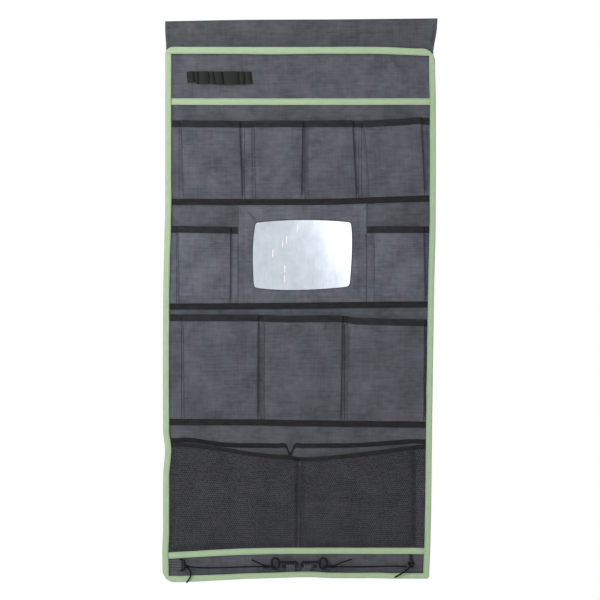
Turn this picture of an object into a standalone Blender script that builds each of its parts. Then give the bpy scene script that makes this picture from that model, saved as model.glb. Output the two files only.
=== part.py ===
"""Hanging organizer for a tent or awning, as separate sewn and moulded pieces.

Metres, +X to the right, the front faces -Y, +Z up. The origin is the middle of the pole tunnel.
Cloth pieces that touch keep a small gap, named SEWN_GAP.
"""

import math

import bmesh
import bpy
from mathutils import Matrix, Vector

# Overall sizes; the panel's height is the sum of the heights below
PANEL_WIDTH = 0.480
TUNNEL_TO_PANEL = 0.025
CORNER_TOP_LEFT = 0.014
CORNER_TOP_RIGHT = 0.020
CORNER_BOTTOM_LEFT = 0.014
CORNER_BOTTOM_RIGHT = 0.004

# Cloth, tape and webbing thicknesses, and the gap between pieces that touch
PANEL_THICKNESS = 0.0012
CLOTH = 0.0005
TAPE = 0.0005
ELASTIC = 0.0009
WEBBING = 0.0010
SEWN_GAP = 0.0003
SHARP_CORNER = 0.0006

# Tape widths as seen from the front
EDGE_BINDING_WIDTH = 0.011
TRIM_WIDTH = 0.012
MOUTH_BINDING_WIDTH = 0.0105
BASE_TAPE_WIDTH = 0.0107
REAR_TAPE_WIDTH = 0.008

# Pole sleeve: a front leaf sewn behind the panel's top edge and a rear flap that closes on the back
SLEEVE_WIDTH = 0.481
SLEEVE_FLARE = 0.005
SLEEVE_CLOTH = 0.0008
TUNNEL_HALF_DEPTH = 0.012
TUNNEL_TOP = 0.0246
TUNNEL_WIDEST = 0.006
LEAF_HIDDEN = 0.013
NECK_ABOVE_PANEL = 0.0012
FLAP_HIDDEN = 0.041
FOLD_CLEARANCE = 0.0009
CLOSURE_WIDTH = 0.020
CLOSURE_BELOW_TOP = 0.018
CLOSURE_THICKNESS = 0.0008
CLOSURE_END_MARGIN = 0.004

# Heights of the head, the rows, the gaps between them and the foot, from the panel's top edge down
HEAD_HEIGHT = 0.0964
TOOL_STRIP_CENTRE = 0.0537
GAP_ABOVE_UPPER_ROW = 0.0356
UPPER_ROW_HEIGHT = 0.1433
GAP_ABOVE_SIDE_POCKETS = 0.0442
SIDE_POCKET_HEIGHT = 0.1425
GAP_ABOVE_LOWER_ROW = 0.0195
LOWER_ROW_HEIGHT = 0.1875
GAP_ABOVE_REAR_TAPE = 0.0350
MESH_MOUTH_DROP = 0.0055
MESH_POCKET_HEIGHT = 0.1931
FOOT_HEIGHT = 0.0464

# Pockets: raised fronts between sewn seams, from left to right; the last front fills the rest
UPPER_LEFT_MARGIN = 0.028
UPPER_RIGHT_MARGIN = 0.021
UPPER_FRONTS = (0.106, 0.084, 0.084)
UPPER_SEAMS = (0.024, 0.011, 0.019)
LOWER_LEFT_MARGIN = 0.030
LOWER_RIGHT_MARGIN = 0.018
LOWER_FRONTS = (0.133, 0.140)
LOWER_SEAMS = (0.011, 0.012)
MESH_LEFT_MARGIN = 0.017
MESH_RIGHT_MARGIN = 0.034
MESH_FRONTS = (0.2185,)
MESH_SEAMS = (0.009,)
MESH_SAG = 0.027
LEFT_SIDE_OUTER_MARGIN = 0.0235
LEFT_SIDE_INNER_MARGIN = 0.012
RIGHT_SIDE_INNER_MARGIN = 0.009
RIGHT_SIDE_OUTER_MARGIN = 0.0165
FOLD_OVERHANG = 0.003
FOLD_RADIUS = 0.0018
FOLD_BEND_SHARE = 0.3
FOOT_SPREAD = 0.004
MOUTH_TURN = 0.004

UNDER_BAND = 0.001
DEPTH_UNDER_MOUTH = 0.97
FLANGE_ABOVE_TAPE = 0.0006
SAG_SHAPE = 1.2

# Depths at the folds are estimated from the shading of the seams; crowns and the net's depth are guesses
POCKET_DEPTH = 0.0048
POCKET_CROWN = 0.0025
MESH_DEPTH = 0.0060
MESH_CROWN = 0.0050
POCKET_FLOOR_DEPTH = 0.0046
POCKET_FLOOR_RUN = 0.010
CROWN_STEPS = 5

# Mirror behind a cloth frame
MIRROR_VIEW_WIDTH = 0.177
MIRROR_VIEW_HEIGHT = 0.1254
MIRROR_CENTRE_X = 0.0042
MIRROR_CENTRE_UNDER_TAPE = 0.0952
MIRROR_THICKNESS = 0.001
MIRROR_OVERLAP = 0.008
MIRROR_CORNER = 0.005
MIRROR_STEP_RUN = 0.005
MIRROR_STEP_GAP = 0.001
FRAME_WIDTH = 0.2314

# Elastic tool loops on the header
TOOL_STRIP_LEFT_MARGIN = 0.037
TOOL_STRIP_HEIGHT = 0.0222
TOOL_LOOP_WIDTHS = (0.038, 0.0095, 0.016, 0.0285, 0.010, 0.0115)
TOOL_LOOP_ROOM = 0.0052
TOOL_SEAM_WIDTH = 0.0024
TOOL_END_TAIL = 0.0015
TOOL_LOOP_ROUNDNESS = 0.55

# Shock cords, their hooks and what holds them
CORD_DIAMETER = 0.0028
ROUTE_SPACING = 2.5 * CORD_DIAMETER
CORD_LINE_FRONT = 0.0086
CORD_LINE_UNDER_TRIM = 0.0239
HOOK_ROD = 0.0040
HOOK_RISE = 0.0080
HOOK_LENGTH = 0.0410
HOOK_MOUTH = 0.0028
HOOK_EYE_WIDTH = 0.0170
HOOK_EYE_HEIGHT = 0.0230
HOOK_EYE_ABOVE_LINE = 0.0055
LEFT_EYE_X = -0.0436
RIGHT_EYE_X = 0.0416
HOOK_TAB_WIDTH = 0.0150
HOOK_TAB_SIDE_PLAY = 0.0006
RIGHT_TAB_SLANT = 0.0070
LEFT_TAB_HEIGHT = 0.0187
LEFT_TAB_UNDER_TRIM = 0.0217
LEFT_TAB_LENGTH = 0.0267
RIGHT_LOOP_FROM_EDGE = 0.0415
RIGHT_LOOP_WIDTH = 0.0055
RIGHT_LOOP_UNDER_TRIM_CENTRE = 0.0176
TAB_UNDER_BINDING = 0.0060
TAB_LEAF_RISE = 0.0008
LEFT_TAB_BULGE = 0.0080
LEFT_LOOP_SPREAD = 0.0070
RIGHT_LOOP_UNDER_TRIM = 0.0040
CORD_SLACK = 0.0006
LOOP_ROUNDING = 0.0010
LOOP_TURN_IN = 0.0006
RIGHT_LOOP_BEND = 1.1 * CORD_DIAMETER
HOOK_TAIL_START = 0.25
RIGHT_TAIL_INSET = 0.002
KNOT_LOOP_SLACK = 0.0018
KNOT_RADIUS = 0.0034
KNOT_LENGTH = 0.0124
# Half of a knot's outline: place along it and share of its radius, from the waist between its two turns
KNOT_WAIST_TO_END = ((0.0, 0.84), (0.10, 0.97), (0.26, 1.0), (0.42, 0.80), (0.5, 0.45))
LEFT_END_KNOT_FROM_TAB = 0.0103
LEFT_END_KNOT_LENGTH = 0.0060
RIGHT_END_KNOT_LENGTH = 0.0100

# Routes of the free cord lengths, relative to the cord line at each start
LEFT_CORD_ROUTE = (
    (0.000, 0.0000, 0.0000), (0.012, -0.0002, -0.0004), (0.028, -0.0003, -0.0011),
    (0.046, -0.0003, -0.0016), (0.064, -0.0002, -0.0019), (0.082, 0.0000, -0.0018),
    (0.100, 0.0001, -0.0012), (0.114, 0.0001, -0.0006), (0.126, 0.0000, -0.0001),
)
RIGHT_CORD_ROUTE = (
    (0.000, 0.0000, 0.0000), (0.012, 0.0001, -0.0003), (0.030, 0.0001, -0.0009),
    (0.048, 0.0000, -0.0014), (0.066, -0.0001, -0.0016), (0.084, -0.0002, -0.0014),
    (0.100, -0.0002, -0.0009), (0.112, -0.0001, -0.0003),
)
LEFT_HOOK_TAIL = (
    (0.0, 0.0, 0.0012), (-0.006, 0.0003, 0.0044), (-0.013, 0.0008, 0.0075), (-0.022, 0.0012, 0.0115),
)
RIGHT_HOOK_TAIL = (
    (0.0, 0.0, 0.0012), (0.007, 0.0003, 0.0046), (0.016, 0.0008, 0.0080), (0.030, 0.0012, 0.0122),
)
LEFT_END_TAIL = (
    (0.0, 0.0, 0.0), (0.0050, -0.0004, -0.0050), (0.0080, -0.0002, -0.0110),
    (0.0070, 0.0004, -0.0190), (0.0035, 0.0008, -0.0250), (0.0012, 0.0010, -0.0285),
)
RIGHT_END_TAIL = (
    (0.0, 0.0, 0.0), (-0.0050, -0.0004, -0.0050), (-0.0120, -0.0002, -0.0105),
    (-0.0200, 0.0004, -0.0155), (-0.0265, 0.0008, -0.0190),
)

# Places below the panel's top edge, each from the one above it
HEADER_TRIM_CENTRE = HEAD_HEIGHT
UPPER_MOUTH = HEADER_TRIM_CENTRE + GAP_ABOVE_UPPER_ROW
UPPER_BASE_CENTRE = UPPER_MOUTH + UPPER_ROW_HEIGHT
SIDE_MOUTH = UPPER_BASE_CENTRE + GAP_ABOVE_SIDE_POCKETS
MIDDLE_BASE_CENTRE = SIDE_MOUTH + SIDE_POCKET_HEIGHT
LOWER_MOUTH = MIDDLE_BASE_CENTRE + GAP_ABOVE_LOWER_ROW
LOWER_BASE_CENTRE = LOWER_MOUTH + LOWER_ROW_HEIGHT
REAR_TAPE_CENTRE = LOWER_BASE_CENTRE + GAP_ABOVE_REAR_TAPE
MESH_MOUTH = REAR_TAPE_CENTRE + MESH_MOUTH_DROP
BOTTOM_TRIM_CENTRE = MESH_MOUTH + MESH_POCKET_HEIGHT
PANEL_HEIGHT = BOTTOM_TRIM_CENTRE + FOOT_HEIGHT
MIRROR_CENTRE = UPPER_BASE_CENTRE + MIRROR_CENTRE_UNDER_TAPE
CORD_LINE = BOTTOM_TRIM_CENTRE + CORD_LINE_UNDER_TRIM
LEFT_TAB_CENTRE = BOTTOM_TRIM_CENTRE + LEFT_TAB_UNDER_TRIM
RIGHT_LOOP_CENTRE = BOTTOM_TRIM_CENTRE + RIGHT_LOOP_UNDER_TRIM_CENTRE

# Places across the panel that go with its side edges
LEFT_TAB_LOOP_X = -PANEL_WIDTH / 2 + LEFT_TAB_LENGTH
LEFT_END_KNOT_X = LEFT_TAB_LOOP_X + LEFT_END_KNOT_FROM_TAB
RIGHT_LOOP_X = PANEL_WIDTH / 2 - RIGHT_LOOP_FROM_EDGE

# Plan of the stack of layers, from the panel's rear face forwards
PANEL_TOP = -TUNNEL_TO_PANEL
PANEL_BOTTOM = PANEL_TOP - PANEL_HEIGHT
PANEL_BACK = 0.0
PANEL_FRONT = -PANEL_THICKNESS
FLANGE_BACK = PANEL_FRONT - SEWN_GAP
FLANGE_FRONT = FLANGE_BACK - CLOTH
FLANGE_MIDDLE = (FLANGE_BACK + FLANGE_FRONT) / 2
BAND_BACK = FLANGE_FRONT - SEWN_GAP
BAND_FRONT = BAND_BACK - TAPE
MOUTH_MIDDLE = PANEL_FRONT - SEWN_GAP - TAPE - SEWN_GAP - CLOTH / 2
MOUTH_FRONT = MOUTH_MIDDLE - CLOTH / 2 - SEWN_GAP - TAPE
BINDING_INNER_FRONT = MOUTH_FRONT - SEWN_GAP
BINDING_OUTER_FRONT = BINDING_INNER_FRONT - TAPE
BINDING_INNER_BACK = PANEL_BACK + SEWN_GAP
BINDING_OUTER_BACK = BINDING_INNER_BACK + TAPE
CLOTH_EDGE = PANEL_WIDTH / 2 - TAPE - SEWN_GAP
CORD_LINE_Y = -CORD_LINE_FRONT
CORD_LINE_Z = PANEL_TOP - CORD_LINE
ROD_RADIUS = HOOK_ROD / 2
CORD_RADIUS = CORD_DIAMETER / 2


def height(below_top):
    """Height of a line given by its distance below the panel's top edge."""
    return PANEL_TOP - below_top


# Materials

def make_material(name, colour, roughness, metallic=0.0):
    """A plain Principled finish."""
    material = bpy.data.materials.new(name)
    material.use_nodes = True
    shader = material.node_tree.nodes["Principled BSDF"]
    shader.inputs["Base Color"].default_value = (*colour, 1.0)
    shader.inputs["Roughness"].default_value = roughness
    shader.inputs["Metallic"].default_value = metallic
    return material


GREY_CLOTH = (0.115, 0.120, 0.138)
GREEN_TAPE = (0.42, 0.56, 0.35)
BLACK_TAPE = (0.022, 0.022, 0.024)
BLACK_ELASTIC = (0.028, 0.028, 0.029)
BLACK_NET = (0.035, 0.034, 0.040)
GREY_WEBBING = (0.085, 0.085, 0.095)
BLACK_CORD = (0.014, 0.014, 0.016)
BLACK_PLASTIC = (0.016, 0.016, 0.018)
SILVER = (0.85, 0.87, 0.90)
HOOK_AND_LOOP = (0.03, 0.03, 0.033)


# Mesh helpers

def mesh_object(name, points, faces, finish):
    """Object from points and faces, with its faces turned outwards."""
    mesh = bpy.data.meshes.new(name)
    mesh.from_pydata([tuple(point) for point in points], [], faces)
    shell = bmesh.new()
    shell.from_mesh(mesh)
    bmesh.ops.recalc_face_normals(shell, faces=shell.faces)
    shell.to_mesh(mesh)
    shell.free()
    made = bpy.data.objects.new(name, mesh)
    bpy.context.scene.collection.objects.link(made)
    mesh.materials.append(make_material(name, *finish))
    return made


def rounded_rectangle(x_low, x_high, z_low, z_high, radii, steps=6):
    """Outline points; radii run top left, top right, bottom right, bottom left."""
    top_left, top_right, bottom_right, bottom_left = radii
    corners = (
        (x_low + top_left, z_high - top_left, top_left, 180),
        (x_high - top_right, z_high - top_right, top_right, 90),
        (x_high - bottom_right, z_low + bottom_right, bottom_right, 0),
        (x_low + bottom_left, z_low + bottom_left, bottom_left, -90),
    )
    outline = []
    for centre_x, centre_z, radius, start in corners:
        for step in range(steps + 1):
            angle = math.radians(start - 90 * step / steps)
            outline.append((centre_x + radius * math.cos(angle), centre_z + radius * math.sin(angle)))
    return outline


def plate(name, outline, y_back, y_front, finish):
    """Flat piece of cloth, tape or sheet, cut to an outline in the XZ plane."""
    count = len(outline)
    points = [(x, y_back, z) for x, z in outline] + [(x, y_front, z) for x, z in outline]
    faces = [tuple(range(count)), tuple(range(2 * count - 1, count - 1, -1))]
    for near in range(count):
        far = (near + 1) % count
        faces.append((near, near + count, far + count, far))
    return mesh_object(name, points, faces, finish)


def tape(name, below_top, width, y_back, y_front, finish, x_low=-CLOTH_EDGE, x_high=CLOTH_EDGE):
    """Straight tape across the panel, centred on a height."""
    middle = height(below_top)
    outline = ((x_low, middle - width / 2), (x_low, middle + width / 2),
               (x_high, middle + width / 2), (x_high, middle - width / 2))
    return plate(name, outline, y_back, y_front, finish)


def offset_line(line, distance):
    """Line moved sideways to its left by a distance, with mitred bends."""
    directions = [(Vector(far) - Vector(near)).normalized() for near, far in zip(line, line[1:])]
    moved = []
    for index, point in enumerate(line):
        before = directions[max(index - 1, 0)]
        after = directions[min(index, len(directions) - 1)]
        bisector = Vector((-(before.y + after.y), before.x + after.x)).normalized()
        across = Vector((-before.y, before.x))
        moved.append(Vector(point) + bisector * (distance / bisector.dot(across)))
    return moved


def ribbon(name, sections, place, thickness, finish):
    """Bent cloth of even thickness, lofted through section lines.

    Each section is a list of plane points with the same count, and place(u, v, index) puts a
    point of section number index in space.
    """
    rows = []
    for index, line in enumerate(sections):
        flat = [Vector(point) for point in line]
        one_side = offset_line(flat, thickness / 2)
        other_side = offset_line(flat, -thickness / 2)
        ring = one_side + other_side[::-1]
        rows.append([place(point.x, point.y, index) for point in ring])
    count = len(rows[0])
    half = count // 2
    points = [point for row in rows for point in row]
    faces = []
    for row in range(len(rows) - 1):
        for near in range(count):
            far = (near + 1) % count
            base, top = row * count, (row + 1) * count
            faces.append((base + near, base + far, top + far, top + near))
    last = (len(rows) - 1) * count
    for near in range(half - 1):
        opposite = count - 1 - near
        faces.append((near, opposite, opposite - 1, near + 1))
        faces.append((last + near, last + near + 1, last + opposite - 1, last + opposite))
    return mesh_object(name, points, faces, finish)


def arc(centre_u, centre_v, radius, start, end, steps):
    """Points of an arc in a plane, angles in degrees."""
    angles = [math.radians(start + (end - start) * step / steps) for step in range(steps + 1)]
    return [(centre_u + radius * math.cos(angle), centre_v + radius * math.sin(angle)) for angle in angles]


def tube_mesh(points, radius, sides=8, closed=False):
    """Points and faces of a round rod swept along a path."""
    path = [Vector(point) for point in points]
    count = len(path)
    normal = None
    rings = []
    for index, point in enumerate(path):
        if closed:
            direction = path[(index + 1) % count] - path[index - 1]
        else:
            direction = path[min(index + 1, count - 1)] - path[max(index - 1, 0)]
        direction.normalize()
        if normal is None:
            normal = direction.orthogonal().normalized()
        normal = (normal - direction * normal.dot(direction)).normalized()
        side = direction.cross(normal)
        for step in range(sides):
            angle = 2 * math.pi * step / sides
            rings.append(point + (normal * math.cos(angle) + side * math.sin(angle)) * radius)
    faces = []
    for index in range(count if closed else count - 1):
        base, top = index * sides, ((index + 1) % count) * sides
        for step in range(sides):
            after = (step + 1) % sides
            faces.append((base + step, base + after, top + after, top + step))
    if not closed:
        faces.append(tuple(range(sides)))
        faces.append(tuple(range((count - 1) * sides, count * sides)))
    return rings, faces


def smooth_route(route, spacing):
    """Points about evenly spaced on a smooth curve through the route's points."""
    knots = [Vector(point) for point in route]
    knots = [2 * knots[0] - knots[1]] + knots + [2 * knots[-1] - knots[-2]]
    dense = []
    for index in range(1, len(knots) - 2):
        before, start, end, after = knots[index - 1:index + 3]
        steps = max(2, round((end - start).length / spacing))
        for step in range(steps):
            t = step / steps
            dense.append(0.5 * (2 * start + (end - before) * t
                                + (2 * before - 5 * start + 4 * end - after) * t * t
                                + (3 * start - before - 3 * end + after) * t * t * t))
    dense.append(knots[-2])
    return dense


def fused(name, shells, finish):
    """One closed body from several overlapping shells, by Boolean union."""
    base = mesh_object(name, *shells[0], finish)
    for number, shell in enumerate(shells[1:]):
        other = mesh_object(f"{name}_shell_{number}", *shell, finish)
        join = base.modifiers.new("join", "BOOLEAN")
        join.operation = "UNION"
        join.solver = "EXACT"
        join.object = other
        evaluated = base.evaluated_get(bpy.context.evaluated_depsgraph_get())
        united = bpy.data.meshes.new_from_object(evaluated)
        base.modifiers.clear()
        base.data = united
        bpy.data.objects.remove(other)
    base.data.materials.clear()
    base.data.materials.append(make_material(name, *finish))
    return base


def hinge_origin(made, point):
    """Moves an object's origin to its joint axis and leaves its shape where it is."""
    made.data.transform(Matrix.Translation(-Vector(point)))
    made.location = point


# Panel and its edge

def edge_outline(inset):
    """Outline of the whole panel, moved inwards; tight corners close to a mitre."""
    radii = [max(radius - inset, SHARP_CORNER) for radius in
             (CORNER_TOP_LEFT, CORNER_TOP_RIGHT, CORNER_BOTTOM_RIGHT, CORNER_BOTTOM_LEFT)]
    half = PANEL_WIDTH / 2
    return rounded_rectangle(-half + inset, half - inset, PANEL_BOTTOM + inset, PANEL_TOP - inset, radii)


def build_panel():
    plate("back_panel", edge_outline(TAPE + SEWN_GAP), PANEL_BACK, PANEL_FRONT, (GREY_CLOTH, 0.85))


def build_edge_binding():
    """Green tape folded over the panel's edge all the way round."""
    section = (
        (0.0, BINDING_OUTER_BACK), (0.0, BINDING_OUTER_FRONT),
        (EDGE_BINDING_WIDTH, BINDING_OUTER_FRONT), (EDGE_BINDING_WIDTH, BINDING_INNER_FRONT),
        (TAPE, BINDING_INNER_FRONT), (TAPE, BINDING_INNER_BACK),
        (EDGE_BINDING_WIDTH, BINDING_INNER_BACK), (EDGE_BINDING_WIDTH, BINDING_OUTER_BACK),
    )
    rings = [[(x, y, z) for x, z in edge_outline(inset)] for inset, y in section]
    count = len(rings[0])
    points = [point for ring in rings for point in ring]
    faces = []
    for index in range(len(rings)):
        this, following = index * count, ((index + 1) % len(rings)) * count
        for near in range(count):
            far = (near + 1) % count
            faces.append((this + near, this + far, following + far, following + near))
    mesh_object("edge_binding", points, faces, (GREEN_TAPE, 0.75))


def build_header():
    """Second cloth layer on the head, with the green tape over its lower edge."""
    inset = TAPE + SEWN_GAP
    outline = rounded_rectangle(
        -CLOTH_EDGE, CLOTH_EDGE, height(HEADER_TRIM_CENTRE), PANEL_TOP - inset,
        (CORNER_TOP_LEFT - inset, CORNER_TOP_RIGHT - inset, SHARP_CORNER, SHARP_CORNER))
    plate("header_facing", outline, FLANGE_BACK, FLANGE_FRONT, (GREY_CLOTH, 0.85))
    tape("header_trim", HEADER_TRIM_CENTRE, TRIM_WIDTH, BAND_BACK, BAND_FRONT, (GREEN_TAPE, 0.75))


def build_tool_loops():
    """Elastic sewn down at seams, standing out as a loop between each two."""
    middle = FLANGE_FRONT - SEWN_GAP - ELASTIC / 2
    rise = TOOL_LOOP_ROOM - SEWN_GAP
    roundness = TOOL_LOOP_ROUNDNESS
    seam_x = -PANEL_WIDTH / 2 + TOOL_STRIP_LEFT_MARGIN + TOOL_END_TAIL
    line = [(seam_x - TOOL_END_TAIL, middle)]
    for width in TOOL_LOOP_WIDTHS:
        half = width / 2 - TOOL_SEAM_WIDTH / 2
        centre = seam_x + width / 2
        for step in range(9):
            angle = math.pi * step / 8
            across = math.copysign(abs(math.cos(angle)) ** roundness, math.cos(angle))
            line.append((centre - half * across, middle - rise * math.sin(angle) ** roundness))
        seam_x += width
    line.append((seam_x + TOOL_END_TAIL, middle))
    top = height(TOOL_STRIP_CENTRE) + TOOL_STRIP_HEIGHT / 2
    levels = (top, top - TOOL_STRIP_HEIGHT)
    ribbon("tool_loop_elastic", [line, line], lambda u, v, index: Vector((u, v, levels[index])),
           ELASTIC, (BLACK_ELASTIC, 0.8))


# Pole sleeve

def sleeve_edge(z, side):
    """X of the sleeve's end at a height; the right end flares out towards the top."""
    if side < 0:
        return -SLEEVE_WIDTH / 2
    low = PANEL_TOP - LEAF_HIDDEN
    share = min(max((z - low) / (TUNNEL_TOP - low), 0.0), 1.0)
    return SLEEVE_WIDTH / 2 + SLEEVE_FLARE * share


def sleeve_profile(direction, start_y, hang_y, neck_z, bottom):
    """Side view of one leaf: round at the top, drawn in to the panel below the pole."""
    reach = TUNNEL_HALF_DEPTH - SLEEVE_CLOTH / 2
    rise = TUNNEL_TOP - TUNNEL_WIDEST
    line = []
    for step in range(9):
        angle = math.pi / 2 * step / 8
        out = max(reach * math.sin(angle), start_y)
        line.append((direction * out, TUNNEL_WIDEST + rise * math.cos(angle)))
    widest = direction * reach
    for step in range(1, 9):
        t = step / 8
        blend = 0.5 - 0.5 * math.cos(math.pi * t)
        line.append((widest + (hang_y - widest) * blend, TUNNEL_WIDEST + (neck_z - TUNNEL_WIDEST) * t))
    line.append((hang_y, bottom))
    return line


def sleeve_piece(name, line):
    sides = (-1, 1)
    return ribbon(name, [line, line], lambda u, v, index: Vector((sleeve_edge(v, sides[index]), u, v)),
                  SLEEVE_CLOTH, (GREY_CLOTH, 0.85))


def build_sleeve():
    """Front leaf on the panel, rear flap with its closure, folded at the top of the tunnel."""
    leaf_y = BINDING_OUTER_BACK + SEWN_GAP + SLEEVE_CLOTH / 2
    leaf = sleeve_profile(-1, FOLD_CLEARANCE, leaf_y, PANEL_TOP + NECK_ABOVE_PANEL, PANEL_TOP - LEAF_HIDDEN)
    sleeve_piece("sleeve_front_leaf", leaf)

    loop_back = PANEL_BACK + SEWN_GAP
    hook_back = loop_back + CLOSURE_THICKNESS + SEWN_GAP
    flap_y = hook_back + CLOSURE_THICKNESS + SEWN_GAP + SLEEVE_CLOTH / 2
    flap = sleeve_profile(1, 0.0, flap_y, PANEL_TOP, PANEL_TOP - FLAP_HIDDEN)
    hinge = (0.0, 0.0, TUNNEL_TOP)
    hinge_origin(sleeve_piece("sleeve_rear_flap", flap), hinge)

    centre = CLOSURE_BELOW_TOP + CLOSURE_WIDTH / 2
    end = PANEL_WIDTH / 2 - EDGE_BINDING_WIDTH - CLOSURE_END_MARGIN
    tape("sleeve_loop_tape", centre, CLOSURE_WIDTH, loop_back + CLOSURE_THICKNESS, loop_back,
         (HOOK_AND_LOOP, 0.9), -end, end)
    hook_tape = tape("flap_hook_tape", centre, CLOSURE_WIDTH, hook_back + CLOSURE_THICKNESS, hook_back,
                     (HOOK_AND_LOOP, 0.9), -end, end)
    hinge_origin(hook_tape, hinge)


# Pockets

def front_spans(left, right, left_margin, right_margin, fronts, seams):
    """Start and end of each raised pocket front between two ends of a row."""
    spans = []
    start = left + left_margin
    for width, seam in zip(fronts, seams):
        spans.append((start, start + width))
        start += width + seam
    spans.append((start, right - right_margin))
    return spans


def pocket_line(spans, left, right, depth, full_depth, crown_depth, flange_y):
    """Plan view of a pocket row at one height: flat seams and raised, crowned fronts with folded sides."""
    share = depth / full_depth
    foot = FOLD_OVERHANG * share - FOOT_SPREAD * (1 - share)
    round_y = min(FOLD_RADIUS, depth / 2.5)
    line = [(left, flange_y)]
    for start, end in spans:
        fold = [(foot, 0.0), (0.0, depth - round_y),
                (FOLD_BEND_SHARE * FOLD_RADIUS, depth - FOLD_BEND_SHARE * round_y), (FOLD_RADIUS, depth)]
        line += [(start + x, flange_y - y) for x, y in fold]
        for step in range(1, CROWN_STEPS):
            t = step / CROWN_STEPS
            crown = crown_depth * math.sin(math.pi * t) * share
            line.append((start + (end - start) * t, flange_y - depth - crown))
        line += [(end - x, flange_y - y) for x, y in reversed(fold)]
    line.append((right, flange_y))
    return line


def pocket_levels(top, base_top, base_middle, depth):
    """Heights down a pocket row with the depth and the seam's place at each."""
    under_band = top - MOUTH_BINDING_WIDTH - UNDER_BAND
    floor = base_top + POCKET_FLOOR_RUN
    halfway = (under_band + floor) / 2
    return (
        (top, depth, MOUTH_MIDDLE),
        (under_band, depth, MOUTH_MIDDLE),
        (under_band - MOUTH_TURN, depth * DEPTH_UNDER_MOUTH, FLANGE_MIDDLE),
        (halfway, (depth + POCKET_FLOOR_DEPTH) / 2, FLANGE_MIDDLE),
        (floor, POCKET_FLOOR_DEPTH, FLANGE_MIDDLE),
        (base_top + FLANGE_ABOVE_TAPE, 0.0, FLANGE_MIDDLE),
        (base_middle, 0.0, FLANGE_MIDDLE),
    )


def mouth_sag(x, sag):
    """How far a slack mouth hangs down at x; most in the middle."""
    return sag * (1 - min(abs(x) / (PANEL_WIDTH / 2), 1.0) ** SAG_SHAPE)


def build_pocket_row(name, spans, left, right, mouth, base_centre, base_width, depths, finish, sag=0.0):
    """One strip of cloth with its pockets, and the tape folded over its mouth.

    depths holds the depth at the folds and how much further the middle of a front stands out.
    """
    depth, crown_depth = depths
    top = height(mouth)
    base_middle = height(base_centre) + SEWN_GAP
    base_top = height(base_centre) + base_width / 2
    levels = pocket_levels(top, base_top, base_middle, depth)
    sections = [pocket_line(spans, left, right, at, depth, crown_depth, flange) for _, at, flange in levels]

    def place(u, v, index):
        level = levels[index][0]
        share = (level - base_middle) / (top - base_middle)
        return Vector((u, v, level - mouth_sag(u, sag) * share))

    ribbon(name, sections, place, CLOTH, finish)
    build_mouth_binding(f"{name}_binding", sections[0], top, sag)


def build_mouth_binding(name, line, top, sag):
    """Black tape folded over a pocket's mouth, along its plan line."""
    inner = CLOTH / 2 + SEWN_GAP
    outer = inner + TAPE
    shape = (
        (outer, -MOUTH_BINDING_WIDTH), (outer, SEWN_GAP + TAPE), (-outer, SEWN_GAP + TAPE),
        (-outer, -MOUTH_BINDING_WIDTH), (-inner, -MOUTH_BINDING_WIDTH), (-inner, SEWN_GAP),
        (inner, SEWN_GAP), (inner, -MOUTH_BINDING_WIDTH),
    )
    edges = [offset_line([Vector(point) for point in line], across) for across, _ in shape]
    count = len(line)
    corners = len(shape)
    points = []
    for index in range(count):
        for edge, (_, rise) in zip(edges, shape):
            x, y = edge[index]
            points.append((x, y, top + rise - mouth_sag(x, sag)))
    faces = []
    for index in range(count - 1):
        base, following = index * corners, (index + 1) * corners
        for near in range(corners):
            far = (near + 1) % corners
            faces.append((base + near, base + far, following + far, following + near))
    for base in (0, (count - 1) * corners):
        for corner in ((0, 1, 6, 7), (1, 2, 5, 6), (2, 3, 4, 5)):
            faces.append(tuple(base + number for number in corner))
    return mesh_object(name, points, faces, (BLACK_TAPE, 0.8))


def build_pockets():
    """The two full rows, the two side pockets beside the mirror and the net pocket."""
    cloth = (GREY_CLOTH, 0.85)
    depths = (POCKET_DEPTH, POCKET_CROWN)
    left, right = -CLOTH_EDGE, CLOTH_EDGE
    upper = front_spans(left, right, UPPER_LEFT_MARGIN, UPPER_RIGHT_MARGIN, UPPER_FRONTS, UPPER_SEAMS)
    build_pocket_row("upper_pocket_row", upper, left, right, UPPER_MOUTH, UPPER_BASE_CENTRE,
                     BASE_TAPE_WIDTH, depths, cloth)
    lower = front_spans(left, right, LOWER_LEFT_MARGIN, LOWER_RIGHT_MARGIN, LOWER_FRONTS, LOWER_SEAMS)
    build_pocket_row("lower_pocket_row", lower, left, right, LOWER_MOUTH, LOWER_BASE_CENTRE,
                     BASE_TAPE_WIDTH, depths, cloth)
    net = front_spans(left, right, MESH_LEFT_MARGIN, MESH_RIGHT_MARGIN, MESH_FRONTS, MESH_SEAMS)
    build_pocket_row("mesh_pocket", net, left, right, MESH_MOUTH, BOTTOM_TRIM_CENTRE,
                     TRIM_WIDTH, (MESH_DEPTH, MESH_CROWN), (BLACK_NET, 0.8), MESH_SAG)

    frame_left = MIRROR_CENTRE_X - FRAME_WIDTH / 2 - SEWN_GAP
    frame_right = MIRROR_CENTRE_X + FRAME_WIDTH / 2 + SEWN_GAP
    left_span = front_spans(left, frame_left, LEFT_SIDE_OUTER_MARGIN, LEFT_SIDE_INNER_MARGIN, (), ())
    build_pocket_row("left_side_pocket", left_span, left, frame_left, SIDE_MOUTH, MIDDLE_BASE_CENTRE,
                     BASE_TAPE_WIDTH, depths, cloth)
    right_span = front_spans(frame_right, right, RIGHT_SIDE_INNER_MARGIN, RIGHT_SIDE_OUTER_MARGIN, (), ())
    build_pocket_row("right_side_pocket", right_span, frame_right, right, SIDE_MOUTH, MIDDLE_BASE_CENTRE,
                     BASE_TAPE_WIDTH, depths, cloth)


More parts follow.
